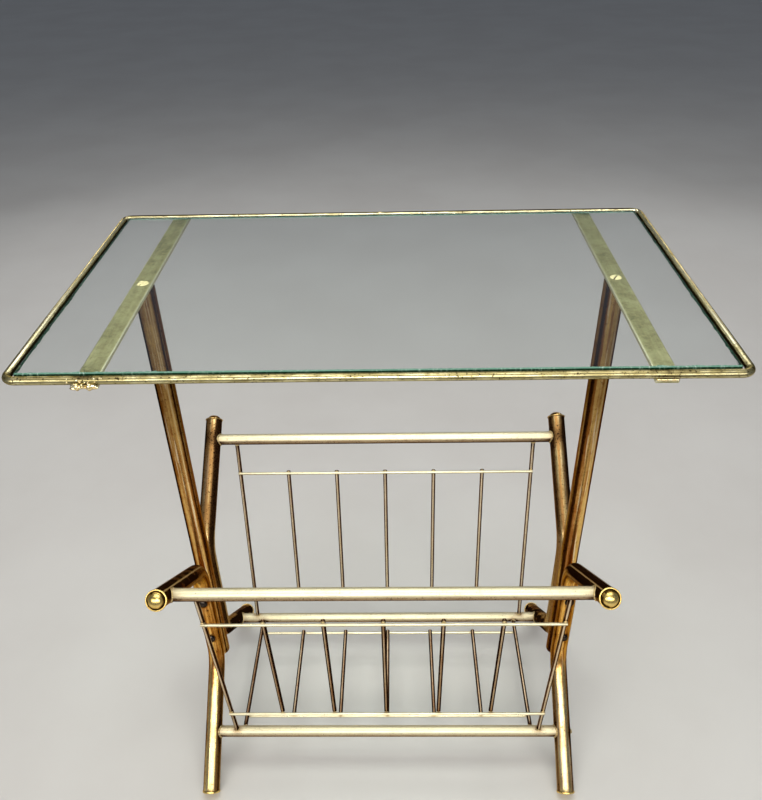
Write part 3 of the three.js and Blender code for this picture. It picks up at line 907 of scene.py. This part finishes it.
def make_legs():
    for side_name, side in SIDES:
        x = side_x(side)
        for end_name, end in ENDS:
            node = f"{end_name}_leg_{side_name}"
            path = bent_path(leg_corners(x, end), LEG_BEND_RADIUS, PATH_STEP, 1.8 * MM)
            shape = tube(path, TUBE_RADIUS, TUBE_WALL, TUBE_SIDES, X_AXIS)
            holes = bolt_hole_cutters(x, LEG_OFFSET * end)
            add_piece(
                node, shape, "leg_brass", slot="tube_brass", carved=holes, path=path,
                wear=leg_shade(path, side, end), rub=leg_highlights(x, side, end), tint=leg_tone_and_highlight(side, end),
            )
            make_caps(node, path)


def make_caps(node, leg):
    """Domed cap on the leg's upper end and a flat one on its foot."""
    spigot = TUBE_RADIUS - TUBE_WALL - 0.3 * MM
    lip = 10.2 * MM
    depth = 9 * MM
    stem = [(0, -depth, 0), (spigot, -depth, 0.8 * MM), (spigot, 0.3 * MM, 0)]
    stem.append((lip, 0.3 * MM, 0.5 * MM))
    groove = [(lip, 1.8 * MM, 0.7 * MM), (9.0 * MM, 1.8 * MM, 0.4 * MM), (8.4 * MM, 0.7 * MM, 0)]
    crown = dome(8.1 * MM, 5.9 * MM, 0.8 * MM)
    profile = rounded_outline([*stem, *groove, *crown])
    shape = revolved(profile, leg.points[-1], leg.tangents[-1], CAP_SIDES)
    top = f"{node}_top_cap"
    axis = straight_path(leg.points[-1], leg.points[-1] + leg.tangents[-1] * 7 * MM, 1 * MM)
    finish = "cap_brass" if node.startswith("front") else "leg_brass"
    add_piece(top, shape, finish, slot="cap_brass", path=axis, wear=cap_groove_shade(axis))

    sole = [(lip, 2.4 * MM, 0.7 * MM), (0, 2.4 * MM, 0)]
    profile = rounded_outline([*stem, *sole])
    vertices, faces = revolved(profile, leg.points[0], -leg.tangents[0], CAP_SIDES)
    vertices[:, 2] = np.maximum(vertices[:, 2], 0)
    axis = straight_path(leg.points[0], leg.points[0] - leg.tangents[0] * 3 * MM, 1 * MM)
    add_piece(f"{node}_foot_cap", (vertices, faces), "cap_brass", path=axis)


@painter
def cap_groove_shade(vertices, axis):
    """Darkens the groove between a cap's lip and its dome, a painted shade, and patches up the dome's
    side, which cover its lower right, as painted dark reflections.
    """
    local = vertices - axis.points[0]
    along = local @ axis.tangents[0]
    across = np.linalg.norm(local - along[:, None] * axis.tangents[0], axis=1)
    groove = stripe(across, 8.5 * MM, 0.6 * MM) * (along < 2.4 * MM)
    lower = smooth(local[:, 0] * 0.7 - local[:, 2] * 0.7, 0, 6 * MM)
    patches = np.maximum(lower, broken(vertices, 9, 160))
    cheek = smooth(across, 5.2 * MM, 7.2 * MM) * (across < 8.7 * MM) * patches
    return 1.2 * groove + 0.9 * cheek


def make_uprights():
    for side_name, _ in SIDES:
        node = f"upright_{side_name}"
        low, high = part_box(node)
        x, y, _ = centre(node)
        path = straight_path((x, y, low[2]), (x, y, high[2]), PATH_STEP)
        bore_top = high[2] - UPRIGHT_PLUG_DEPTH
        stations, radii = with_edges(path, TUBE_RADIUS, TUBE_EDGE)
        outer = list(circles(stations, radii, TUBE_SIDES, X_AXIS))
        thread = straight_path((x, y, high[2]), (x, y, bore_top), PATH_STEP)
        bore = straight_path((x, y, bore_top), (x, y, low[2]), 2 * PATH_STEP)
        hole = list(circles(thread, SCREW_RADIUS + 0.3 * MM, TUBE_SIDES, -X_AXIS))
        inner = list(circles(bore, TUBE_RADIUS - TUBE_WALL, TUBE_SIDES, -X_AXIS))
        shape = loft([*outer, *flipped(hole), *flipped(inner)], closed=True)
        holes = bolt_hole_cutters(x, y)
        add_piece(
            node, shape, "upright_brass", slot="tube_brass", carved=holes, path=path,
            wear=upright_shade(x), rub=upright_highlights(x), tint=upright_reflection_tone,
        )


def flipped(rings):
    """Rings drawn about a downward path, turned to match rings drawn about an upward one."""
    return [np.roll(ring[::-1], 1, axis=0) for ring in rings]


@painter
def upright_shade(vertices, x):
    """Painted dark reflections on an upright: darker bands down its flanks, and a broken dark line down
    its middle.
    """
    across = (vertices[:, 0] - x) / TUBE_RADIUS
    dark_reflection_line = 0.6 * stripe(across, -0.05, 0.07) * broken(vertices, 6, 20)
    return 0.95 * flank(-across, 0.35, 0.7) + 1.05 * flank(across, 0.58, 0.85) + dark_reflection_line


@painter
def upright_highlights(vertices, x):
    """Painted highlights: thin bright lines down the front half of an upright."""
    across = (vertices[:, 0] - x) / TUBE_RADIUS
    lines = 1.0 * stripe(across, 0.5, 0.07) + 0.5 * stripe(across, -0.92, 0.06)
    lines += 0.5 * stripe(across, 0.9, 0.05)
    return lines * (vertices[:, 1] < 0) * (0.5 + 0.5 * broken(vertices, 1, 12))


def upright_reflection_tone(vertices):
    """A factor on an upright's colour: brighter low down and darker towards the top, a painted
    reflection.
    """
    dull = smooth(vertices[:, 2], 0.33, 0.50)
    return np.repeat(1.15 - 0.72 * dull[:, None], 3, axis=1)


def make_bolts():
    """Pan-headed bolts from the front and domed cap nuts at the back."""
    for side_name, _ in SIDES:
        for height in ("lower", "upper"):
            bolt = f"bolt_{side_name}_{height}"
            low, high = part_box(bolt)
            x, _, z = centre(bolt)
            base = np.array((x, low[1] + BOLT_HEAD_HEIGHT, z))
            length = high[1] - base[1]
            crown = dome(BOLT_HEAD_RADIUS, BOLT_HEAD_HEIGHT, 0, 12)
            crown = [(radius, -rise, 0) for radius, rise, _ in reversed(crown)]
            shank = [(BOLT_RADIUS, 0, 0), (BOLT_RADIUS, length, 0.4 * MM), (0, length, 0)]
            shape = revolved(rounded_outline([*crown, *shank]), base, Y_AXIS, BOLT_SIDES)
            axis = straight_path(base - Y_AXIS * BOLT_HEAD_HEIGHT, base, 1 * MM)
            add_piece(bolt, shape, "fastener_brass", path=axis, halo=0.0)
            make_nut(f"nut_{side_name}_{height}")


def make_nut(node):
    """Hexagonal cap nut: chamfered flats, then a dome. The bore takes the bolt's end."""
    low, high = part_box(node)
    x, _, z = centre(node)
    angle = np.linspace(0, 2 * math.pi, NUT_SIDES, endpoint=False)
    flat = NUT_CORNER_RADIUS * math.cos(math.pi / 6)
    hexagon = flat / np.cos((angle + math.pi / 6) % (math.pi / 3) - math.pi / 6)
    sunk = 1 * MM                   # how far below the hexagon's top the dome's middle lies
    dome_base = NUT_HEXAGON_HEIGHT - sunk

    def ring(radius, distance):
        y = np.full(NUT_SIDES, low[1] + distance)
        return np.stack([x + radius * np.cos(angle), y, z + radius * np.sin(angle)], 1)

    bore = BOLT_RADIUS + 0.3 * MM
    rings = [np.array((x, low[1] + dome_base, z)), ring(bore, dome_base), ring(bore, 0)]
    for level in (0, 0.35, 0.7, 1.0, 3.6, 4.1, 4.6, 5.0):
        distance = level * MM
        chamfer = min(distance, NUT_HEXAGON_HEIGHT - distance) * 1.5 + flat * 0.985
        rings.append(ring(np.minimum(hexagon, chamfer), distance))
    for rise in np.linspace(math.asin(sunk / NUT_DOME_RADIUS) + 0.02, math.pi / 2, 10)[:-1]:
        height = dome_base + NUT_DOME_RADIUS * math.sin(rise)
        rings.append(ring(NUT_DOME_RADIUS * math.cos(rise), height))
    rings.append(np.array((x, high[1], z)))
    axis = straight_path((x, low[1], z), (x, high[1], z), 1 * MM)
    add_piece(node, loft(rings), "fastener_brass", path=axis, halo=0.0)


# ---- Rails -------------------------------------------------------------------------------------


def make_rails():
    angle = np.linspace(0, 2 * math.pi, RAIL_SIDES, endpoint=False)
    reach = abs(side_x(1))
    beads = []
    for node, point, leg in all_rails():
        shares = np.linspace(-1, 1, 101)        # from the left leg to the right one
        rings = []
        for radius, order in ((RAIL_RADIUS, shares), (RAIL_RADIUS - RAIL_WALL, shares[::-1])):
            stop = reach - cope(angle, radius, leg, TUBE_RADIUS + 0.2 * MM)
            y = point[1] + radius * np.cos(angle)
            z = point[2] + radius * np.sin(angle)
            rings.extend(np.stack([stop * share, y, z], 1) for share in order)
        path = straight_path((-reach, point[1], point[2]), (reach, point[1], point[2]), PATH_STEP)
        add_piece(
            node, loft(rings, closed=True), "rail_brass", path=path, reference=Z_AXIS,
            wear=underside_shade(point[2]),
        )
        for _, side in SIDES:
            beads.append(rail_bead(point, leg, side, len(beads)))
    nub = centre("front_bottom_rail")
    outside = (side_x(1) + TUBE_RADIUS * 1.02, nub[1] - 1 * MM, nub[2] + 1 * MM)
    beads.append(blob(outside, (1.5 * MM, 2.6 * MM, 2.6 * MM), 5))
    add_welds("rail_weld_beads", beads, halo=1.8, shine=0.1)


@painter
def underside_shade(vertices, z):
    """Painted shade on a rail: darker along its lower half, and darker still underneath."""
    drop = (z - vertices[:, 2]) / RAIL_RADIUS
    return 0.6 * smooth(drop, -0.45, -0.15) + 0.35 * smooth(drop, 0.1, 0.6)


def rail_bead(point, leg, side, seed):
    """The weld bead round a rail where it meets a leg."""
    angle = np.linspace(0, 2 * math.pi, 120, endpoint=False)
    radius = RAIL_RADIUS + 0.1 * MM
    x = side * (abs(side_x(1)) - cope(angle, radius, leg, TUBE_RADIUS))
    ring = np.stack([x, point[1] + radius * np.cos(angle), point[2] + radius * np.sin(angle)], 1)
    tangents = np.roll(ring, -1, axis=0) - np.roll(ring, 1, axis=0)
    path = Path(ring, tangents / np.linalg.norm(tangents, axis=1)[:, None])
    return bead(path, 1.05 * MM, seed + 1, X_AXIS, closed=True, lumps=0.35)


# ---- Wire panels -------------------------------------------------------------------------------


def make_panels():
    for panel in PANELS:
        direction = panel_direction(panel)
        welds = []
        for number, node in enumerate(wires(panel)):
            start, end = wire_ends(node, direction)
            outer = number in (0, len(wires(panel)) - 1)
            if outer:
                start, end = start - direction * 0.5 * MM, end + direction * 0.5 * MM
                welds.extend([wire_foot(start, len(welds)), wire_foot(end, len(welds) + 1)])
            path = straight_path(start, end, WIRE_STEP)
            shape = rod(path, LONG_WIRE_RADIUS, WIRE_SIDES, X_AXIS, 0.5 * MM)
            x = centre(node)[0]
            pale = panel == "back_panel" or (panel == "front_panel" and outer)
            add_piece(
                node, shape, "wire_brass", path=path, wear=wire_shade(x, pale), rub=wire_highlight(x, pale)
            )
            for cross in wires(panel, "cross_wire"):
                welds.append(crossing_weld(node, cross, len(welds)))
        for node in wires(panel, "cross_wire"):
            start, end = wire_ends(node, X_AXIS)
            path = straight_path(start, end, WIRE_STEP)
            shape = rod(path, CROSS_WIRE_RADIUS, WIRE_SIDES, Z_AXIS, 0.45 * MM)
            add_piece(
                node, shape, "cross_brass", slot="wire_brass", path=path, reference=Z_AXIS,
                wear=cross_shade(centre(node)[2]),
            )
        add_welds(f"{panel}_spot_welds", welds, halo=0.6, shine=0.1)


@painter
def wire_shade(vertices, x, pale):
    """A long wire's dark flanks, a painted shade, and, unless it is a pale one, a darker brown all
    over.
    """
    ground = 0.0 if pale else 0.35
    across = (vertices[:, 0] - x) / LONG_WIRE_RADIUS
    return ground + 0.85 * flank(-across, 0.15, 0.65) + 1.05 * flank(across, 0.1, 0.6)


@painter
def wire_highlight(vertices, x, pale):
    """A painted highlight: a bright line down a long wire, clearest on a pale one."""
    strength = 0.7 if pale else 0.2
    return strength * stripe((vertices[:, 0] - x) / LONG_WIRE_RADIUS, -0.15, 0.25)


@painter
def cross_shade(vertices, z):
    """Painted shade along a cross wire's underside."""
    return 0.9 * smooth((z - vertices[:, 2]) / CROSS_WIRE_RADIUS, 0.1, 0.8)


def wire_foot(place, seed):
    """Weld metal round the end of a wire that meets a rail."""
    return blob(place, np.array((3.0, 2.8, 2.8)) * MM, seed, lumps=0.35)


def crossing_weld(long_wire, cross_wire, seed):
    """A small nugget that fills the corners between two crossing wires."""
    size = np.array((2.3, 1.3, 1.5)) * MM
    if long_wire.startswith("bottom"):
        size = np.array((2.3, 1.5, 1.3)) * MM
    return blob(crossing(long_wire, cross_wire), size, seed + 11, lumps=0.3, rows=7, columns=12)


# ---- Top ---------------------------------------------------------------------------------------


def rim_path():
    """The rim rod's centreline, once round from the middle of the back, not quite true."""
    low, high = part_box("top_rim")
    half_x, half_y = high[0] - ROD_RADIUS, high[1] - ROD_RADIUS
    z = (low[2] + high[2]) / 2
    turns = [(x * half_x, y * half_y, z) for x, y in ((-1, 1), (-1, -1), (1, -1), (1, 1))]
    corners = [(0, half_y, z), *turns, (0, half_y, z)]
    path = bent_path(corners, RIM_CORNER_RADIUS, PATH_STEP, 0.8 * MM)
    shifts = (Vector((9.3, 0, 0)), Vector((0, 5.7, 0)), Vector((0, 0, 3.1)))
    wobble = [[noise.noise(Vector(p) * 11 + shift) for shift in shifts] for p in path.points]
    points = path.points + np.array(wobble) * (0.35 * MM, 0.35 * MM, 0.14 * MM)
    return Path(points[:-1], path.tangents[:-1])


def make_rim():
    path = rim_path()
    rings = list(circles(path, ROD_RADIUS, ROD_SIDES, Z_AXIS))
    add_piece(
        "top_rim", loft(rings, closed=True), "rim_brass", path=path, reference=Z_AXIS,
        wear=rim_shade, rub=rim_highlight,
    )
    middle, half = path.points[0], X_AXIS * 1.6 * MM
    joint = straight_path(middle - half, middle + half, 0.4 * MM)
    swell = ROD_RADIUS + 0.35 * MM * np.sin(np.linspace(0, math.pi, len(joint.points)))
    rings = circles(joint, swell, ROD_SIDES, Z_AXIS)
    add_welds("rim_butt_weld", [loft([joint.points[0], *rings, joint.points[-1]])])


def rim_place(vertices):
    """Where points of the rim lie round the rod: how high, how far out, and on which run."""
    low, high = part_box("top_rim")
    past_x = np.abs(vertices[:, 0]) - (high[0] - ROD_RADIUS)
    past_y = np.abs(vertices[:, 1]) - (high[1] - ROD_RADIUS)
    rise = (vertices[:, 2] - (low[2] + high[2]) / 2) / ROD_RADIUS
    front = vertices[:, 1] < low[1] + 3 * ROD_RADIUS
    back = vertices[:, 1] > high[1] - 3 * ROD_RADIUS
    return rise, np.maximum(past_x, past_y) / ROD_RADIUS, front, back


def rim_shade(vertices):
    """Painted shade and dark painted reflections on the rim: along its front, patchy darkening on top
    and two dark lines; elsewhere, patches, a dark band outside and, except at the back, a dark line
    inside.
    """
    rise, outward, front, back = rim_place(vertices)
    patches = 0.4 + 0.6 * broken(vertices, 2, 140)
    dark_reflection_line = 0.9 * stripe(rise, 0.0, 0.15) * (0.4 + 0.6 * broken(vertices, 5, 70))
    along_front = 0.62 * smooth(rise, 0.25, 0.8) * patches + dark_reflection_line + 1.1 * stripe(rise, -0.55, 0.12)
    outside = np.where(back, smooth(outward, -0.65, -0.3), smooth(outward, 0.3, 0.65))
    outside *= 0.95 - 0.6 * smooth(outward, 0.92, 1.0)
    inside = 0.9 * smooth(-outward, 0.75, 0.92) * ~back
    return np.where(front, along_front, 0.3 * patches + outside + inside)


def rim_highlight(vertices):
    """A painted highlight: a bright line along the top of the rim, except in front."""
    rise, outward, front, back = rim_place(vertices)
    line = stripe(outward, np.where(back, -0.95, -0.2), 0.35) * (rise > np.where(back, -0.4, 0))
    return 0.85 * line * ~front * (0.35 + 0.65 * broken(vertices, 3, 60))


def bar_section(width, height, edge):
    """A rectangle with rounded edges and points across its flats, centred on the origin."""
    w, h = width / 2, height / 2
    across = np.linspace(-w, w, 13)
    outline = []
    for x, z in [(x, h) for x in across] + [(x, -h) for x in across[::-1]]:
        at_corner = abs(abs(x) - w) < 1e-9
        outline.extend(rounded_corner(math.copysign(w, x), z, edge) if at_corner else [(x, z)])
    return np.array(outline)


def rounded_corner(x, z, edge):
    """A rounded corner's points, clockwise."""
    hub = (x - math.copysign(edge, x), z - math.copysign(edge, z))
    first = {(1, 1): 90, (1, -1): 0, (-1, -1): -90, (-1, 1): 180}[np.sign(x), np.sign(z)]
    turns = np.radians(np.linspace(first, first - 90, 5))
    return [(hub[0] + edge * math.cos(t), hub[1] + edge * math.sin(t)) for t in turns]


@painter
def strap_edge_highlights(vertices, x, half_width, top):
    """Painted highlights along a strap's top edges, the inner one brighter."""
    inward = (x - vertices[:, 0]) * np.sign(x)
    inner = stripe(inward, half_width, 1.5 * MM)
    outer = 0.4 * stripe(inward, -half_width, 1.0 * MM)
    return (inner + outer) * (vertices[:, 2] > top - 2.5 * MM)


def make_straps():
    bevel = 0.3 * MM
    # Radius and height, from the strap's top, of the countersunk hole, which cuts right through.
    sink = [
        (0, -6 * MM),
        (SCREW_RADIUS + 0.3 * MM, -6 * MM),
        (SCREW_RADIUS + 0.3 * MM, -2.9 * MM),
        (SCREW_HEAD_RADIUS + 0.25 * MM, 0),
        (SCREW_HEAD_RADIUS + 0.25 * MM, 2 * MM),
        (0, 2 * MM),
    ]
    for side_name, _ in SIDES:
        node = f"strap_{side_name}"
        low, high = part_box(node)
        x, _, z = centre(node)
        width, _, height = extent(node)
        section = bar_section(width, height, 0.9 * MM)
        inset = bar_section(width - 2 * bevel, height - 2 * bevel, 0.7 * MM)
        rings = [np.array((x, low[1], z))]
        middle = [(y, section) for y in np.linspace(low[1] + bevel, high[1] - bevel, 90)]
        for y, outline in [(low[1], inset), *middle, (high[1], inset)]:
            y = np.full(len(outline), y)
            rings.append(np.stack([x + outline[:, 0], y, z + outline[:, 1]], 1))
        rings.append(np.array((x, high[1], z)))
        hole = revolved(sink, (x, 0, high[2]), Z_AXIS, SINK_SIDES)
        path = straight_path((x, low[1], z), (x, high[1], z), PATH_STEP)
        rub = strap_edge_highlights(x, width / 2, high[2])
        add_piece(node, loft(rings), "strap_brass", carved=[hole], path=path, rub=rub)
        make_strap_screw(f"strap_screw_{side_name}")
        make_strap_welds(side_name, x, low, high)


def make_strap_screw(node):
    """Slotted countersunk screw with a slightly raised head. Below the head's face, its slot too, it is
    painted dark as shade, and the face is painted brighter as a highlight.
    """
    low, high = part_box(node)
    x, y, _ = centre(node)
    length = high[2] - low[2]
    stem = [
        (0, -length, 0),
        (SCREW_RADIUS, -length, 0.5 * MM),
        (SCREW_RADIUS, -SCREW_HEAD_HEIGHT, 0),
        (SCREW_HEAD_RADIUS, -0.35 * MM, 0.15 * MM),
        (SCREW_HEAD_RADIUS, 0, 0),
    ]
    raised = dome(SCREW_HEAD_RADIUS * 0.97, 0.45 * MM, 0, 8)
    shape = revolved(rounded_outline([*stem, *raised]), (x, y, high[2]), Z_AXIS, SCREW_SIDES)

    half_length, half_width, depth = SCREW_HEAD_RADIUS * 2, 0.6 * MM, 0.9 * MM
    signs = np.array(((-1, -1), (1, -1), (1, 1), (-1, 1)))
    tilt = np.array(Matrix.Rotation(math.radians(random.Random(node).uniform(40, 65)), 2))
    outline = signs * (half_length, half_width) @ tilt.T + (x, y)
    levels = (high[2] - depth, high[2] + 2 * MM)
    points, sides = loft([np.column_stack([outline, np.full(4, z)]) for z in levels])
    slot = (points, [(0, 1, 2, 3), (7, 6, 5, 4), *sides])
    axis = straight_path((x, y, low[2]), (x, y, high[2]), 1 * MM)
    face = high[2] - 0.3 * MM
    add_piece(
        node, shape, "screw_brass", slot="fastener_brass", carved=[slot], path=axis, halo=0,
        wear=lambda vertices: 1.0 * (vertices[:, 2] < face),
        rub=lambda vertices: 0.35 * (vertices[:, 2] > face),
    )


def make_strap_welds(side_name, x, low, high):
    """Beads that hold a strap's ends under the rim. The front left one is the roughest."""
    half = (high[0] - low[0]) / 2
    step = 0.7 * MM
    shapes = []
    for end, y in ((-1, low[1]), (1, high[1])):
        for inward, rise, radius, seed in ((-0.3, 0, 1.3, 3), (4.6, 0.3, 0.9, 7)):
            place = np.array((x, y - inward * MM * end, high[2] + rise * MM))
            path = straight_path(place - X_AXIS * half, place + X_AXIS * half, step)
            shapes.append(bead(path, radius * MM, end + seed, Z_AXIS, lumps=0.4))
    if side_name == "left":
        drops = random.Random("front left weld")
        y, z = low[1] - 0.8 * MM, high[2] + 0.2 * MM
        start, end = (x - half * 1.3, y, z - 0.6 * MM), (x + half * 1.1, y, z - 0.4 * MM)
        lump = straight_path(start, end, step)
        shapes.append(bead(lump, 2.5 * MM, 12, Z_AXIS, lumps=0.6, ripple=6 * MM))
        for i in range(16):
            place = (
                x + drops.uniform(-1.1, 1.0) * half,
                low[1] - drops.uniform(1.4, 3.2) * MM,
                high[2] + drops.uniform(-1.5, 1.4) * MM,
            )
            size = [drops.uniform(*limits) * MM for limits in ((1.2, 2.8), (0.8, 1.3), (0.6, 1.3))]
            shapes.append(blob(place, size, i, lumps=0.35))
        shapes.extend(spatter(x, half, drops))
        make_screw_burrs(x, high[2], drops)
    # Painted light on the beads: shade under their lower part, and broken highlights over the top.
    bottom = high[2] - 1.5 * MM
    add_welds(
        f"strap_{side_name}_weld_beads", shapes,
        wear=lambda vertices: 0.7 * smooth(bottom - vertices[:, 2], 0, 1.2 * MM),
        rub=lambda vertices: 0.95 * smooth(vertices[:, 2], bottom, high[2]) * broken(vertices, 4, 350),
    )


def spatter(x, half, drops):
    """Drops of weld metal that stick to the front of the rim."""
    low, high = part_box("top_rim")
    y, z = low[1] + ROD_RADIUS, (low[2] + high[2]) / 2
    shapes = []
    for i in range(12):
        turn = math.radians(drops.uniform(-10, 70))
        along = x + drops.uniform(-2.0, 1.5) * half
        place = (along, y - ROD_RADIUS * math.cos(turn), z + ROD_RADIUS * math.sin(turn))
        size = drops.uniform(0.4, 0.8) * MM
        shapes.append(blob(place, (size * 1.5, size, size), i + 60, rows=5, columns=8))
    return shapes


def make_screw_burrs(x, top, drops):
    """Rough metal on the left strap round its screw."""
    burrs = []
    for i in range(9):
        turn = drops.uniform(0, 2 * math.pi)
        reach = drops.uniform(1.5, 4.5) * MM
        place = (x + reach * math.cos(turn), reach * math.sin(turn), top - 0.05 * MM)
        size = np.array((drops.uniform(1.2, 2.2), drops.uniform(0.9, 1.6), 0.28)) * MM
        burrs.append(blob(place, size, i + 40, lumps=0.4))
    add_welds("strap_left_screw_burrs", burrs, finish="screw_brass", shine=0.15)


def pane_outline(half, inset):
    """Points round the pane, the same number at every inset."""
    hub = half - PANE_CORNER_RADIUS
    corner = max(PANE_CORNER_RADIUS - inset, 0.2 * MM)
    arcs = []
    for first, sign in enumerate(((1, 1), (-1, 1), (-1, -1), (1, -1))):
        angle = np.linspace(first, first + 1, 7)[:, None] * math.pi / 2
        arcs.append(hub * sign + corner * np.hstack([np.cos(angle), np.sin(angle)]))
    runs = []
    for arc, following, count in zip(arcs, arcs[1:] + arcs[:1], (320, 90, 320, 90)):
        share = np.arange(1, count)[:, None] / count
        runs.extend([arc, arc[-1] + (following[0] - arc[-1]) * share])
    return np.concatenate(runs)


def chip(vertex, half):
    """Moves a vertex on the pane's edge inward by a nick, deeper near its front corners."""
    near_corner = vertex[1] < 0 and not -0.15 <= vertex[0] <= 0.19
    nick = max(0.0, noise.noise(Vector(vertex) * 160)) * 0.5 * MM
    nick += max(0.0, noise.noise(Vector(vertex) * 420)) * (1.6 if near_corner else 0.3) * MM
    on_edge = np.abs(vertex[:2]) > half - 1.2 * MM
    vertex[:2] -= np.sign(vertex[:2]) * nick * on_edge


def make_glass():
    """The loose pane, with its sharp edges ground off a little unevenly."""
    low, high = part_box("glass_pane")
    half = np.array(high[:2])
    thickness = high[2] - low[2]
    rings = []
    levels = (PANE_ARRIS, 0), (0, PANE_ARRIS), (0, thickness - PANE_ARRIS), (PANE_ARRIS, thickness)
    for inset, rise in levels:
        outline = pane_outline(half, inset)
        ring = np.column_stack([outline, np.full(len(outline), low[2] + rise)])
        if inset:
            for vertex in ring:
                chip(vertex, half)
        rings.append(ring)
    vertices, faces = loft(rings)
    count = len(rings[0])
    faces.extend([tuple(range(count)), tuple(range(3 * count, 4 * count))])
    item = mesh_object("glass_pane_fine", (vertices, faces))
    item.data.set_sharp_from_angle(angle=math.radians(20))
    for finish in ("clear_glass", "glass_edge", "glass_arris"):
        item.data.materials.append(finishes[finish])
    for face in item.data.polygons:
        if len(face.vertices) == 4:
            # The arrises along the left and right sides take the dark edge material, not the pale arris
            # one: a painted shade.
            upright = abs(face.normal.z) < 0.2
            sideways = abs(face.normal.x) > abs(face.normal.y)
            face.material_index = 1 if upright or sideways else 2
    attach(item, "glass")
    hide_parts("glass_pane")


# ---- Floor -------------------------------------------------------------------------------------


def make_floor():
    half, count = 14.0, 29
    lines = np.linspace(-half, half, count)
    vertices = [(x, y, 0) for y in lines for x in lines]
    corners = (0, 1, count + 1, count)
    starts = [row * count + column for row in range(count - 1) for column in range(count - 1)]
    faces = [tuple(start + corner for corner in corners) for start in starts]
    floor = mesh_object("floor", (np.array(vertices), faces))
    floor.data.materials.append(floor_paint())


make_camera()
make_studio()
make_floor()
note_joints()
make_legs()
make_uprights()
make_bolts()
make_rails()
make_panels()
make_rim()
make_straps()
make_glass()
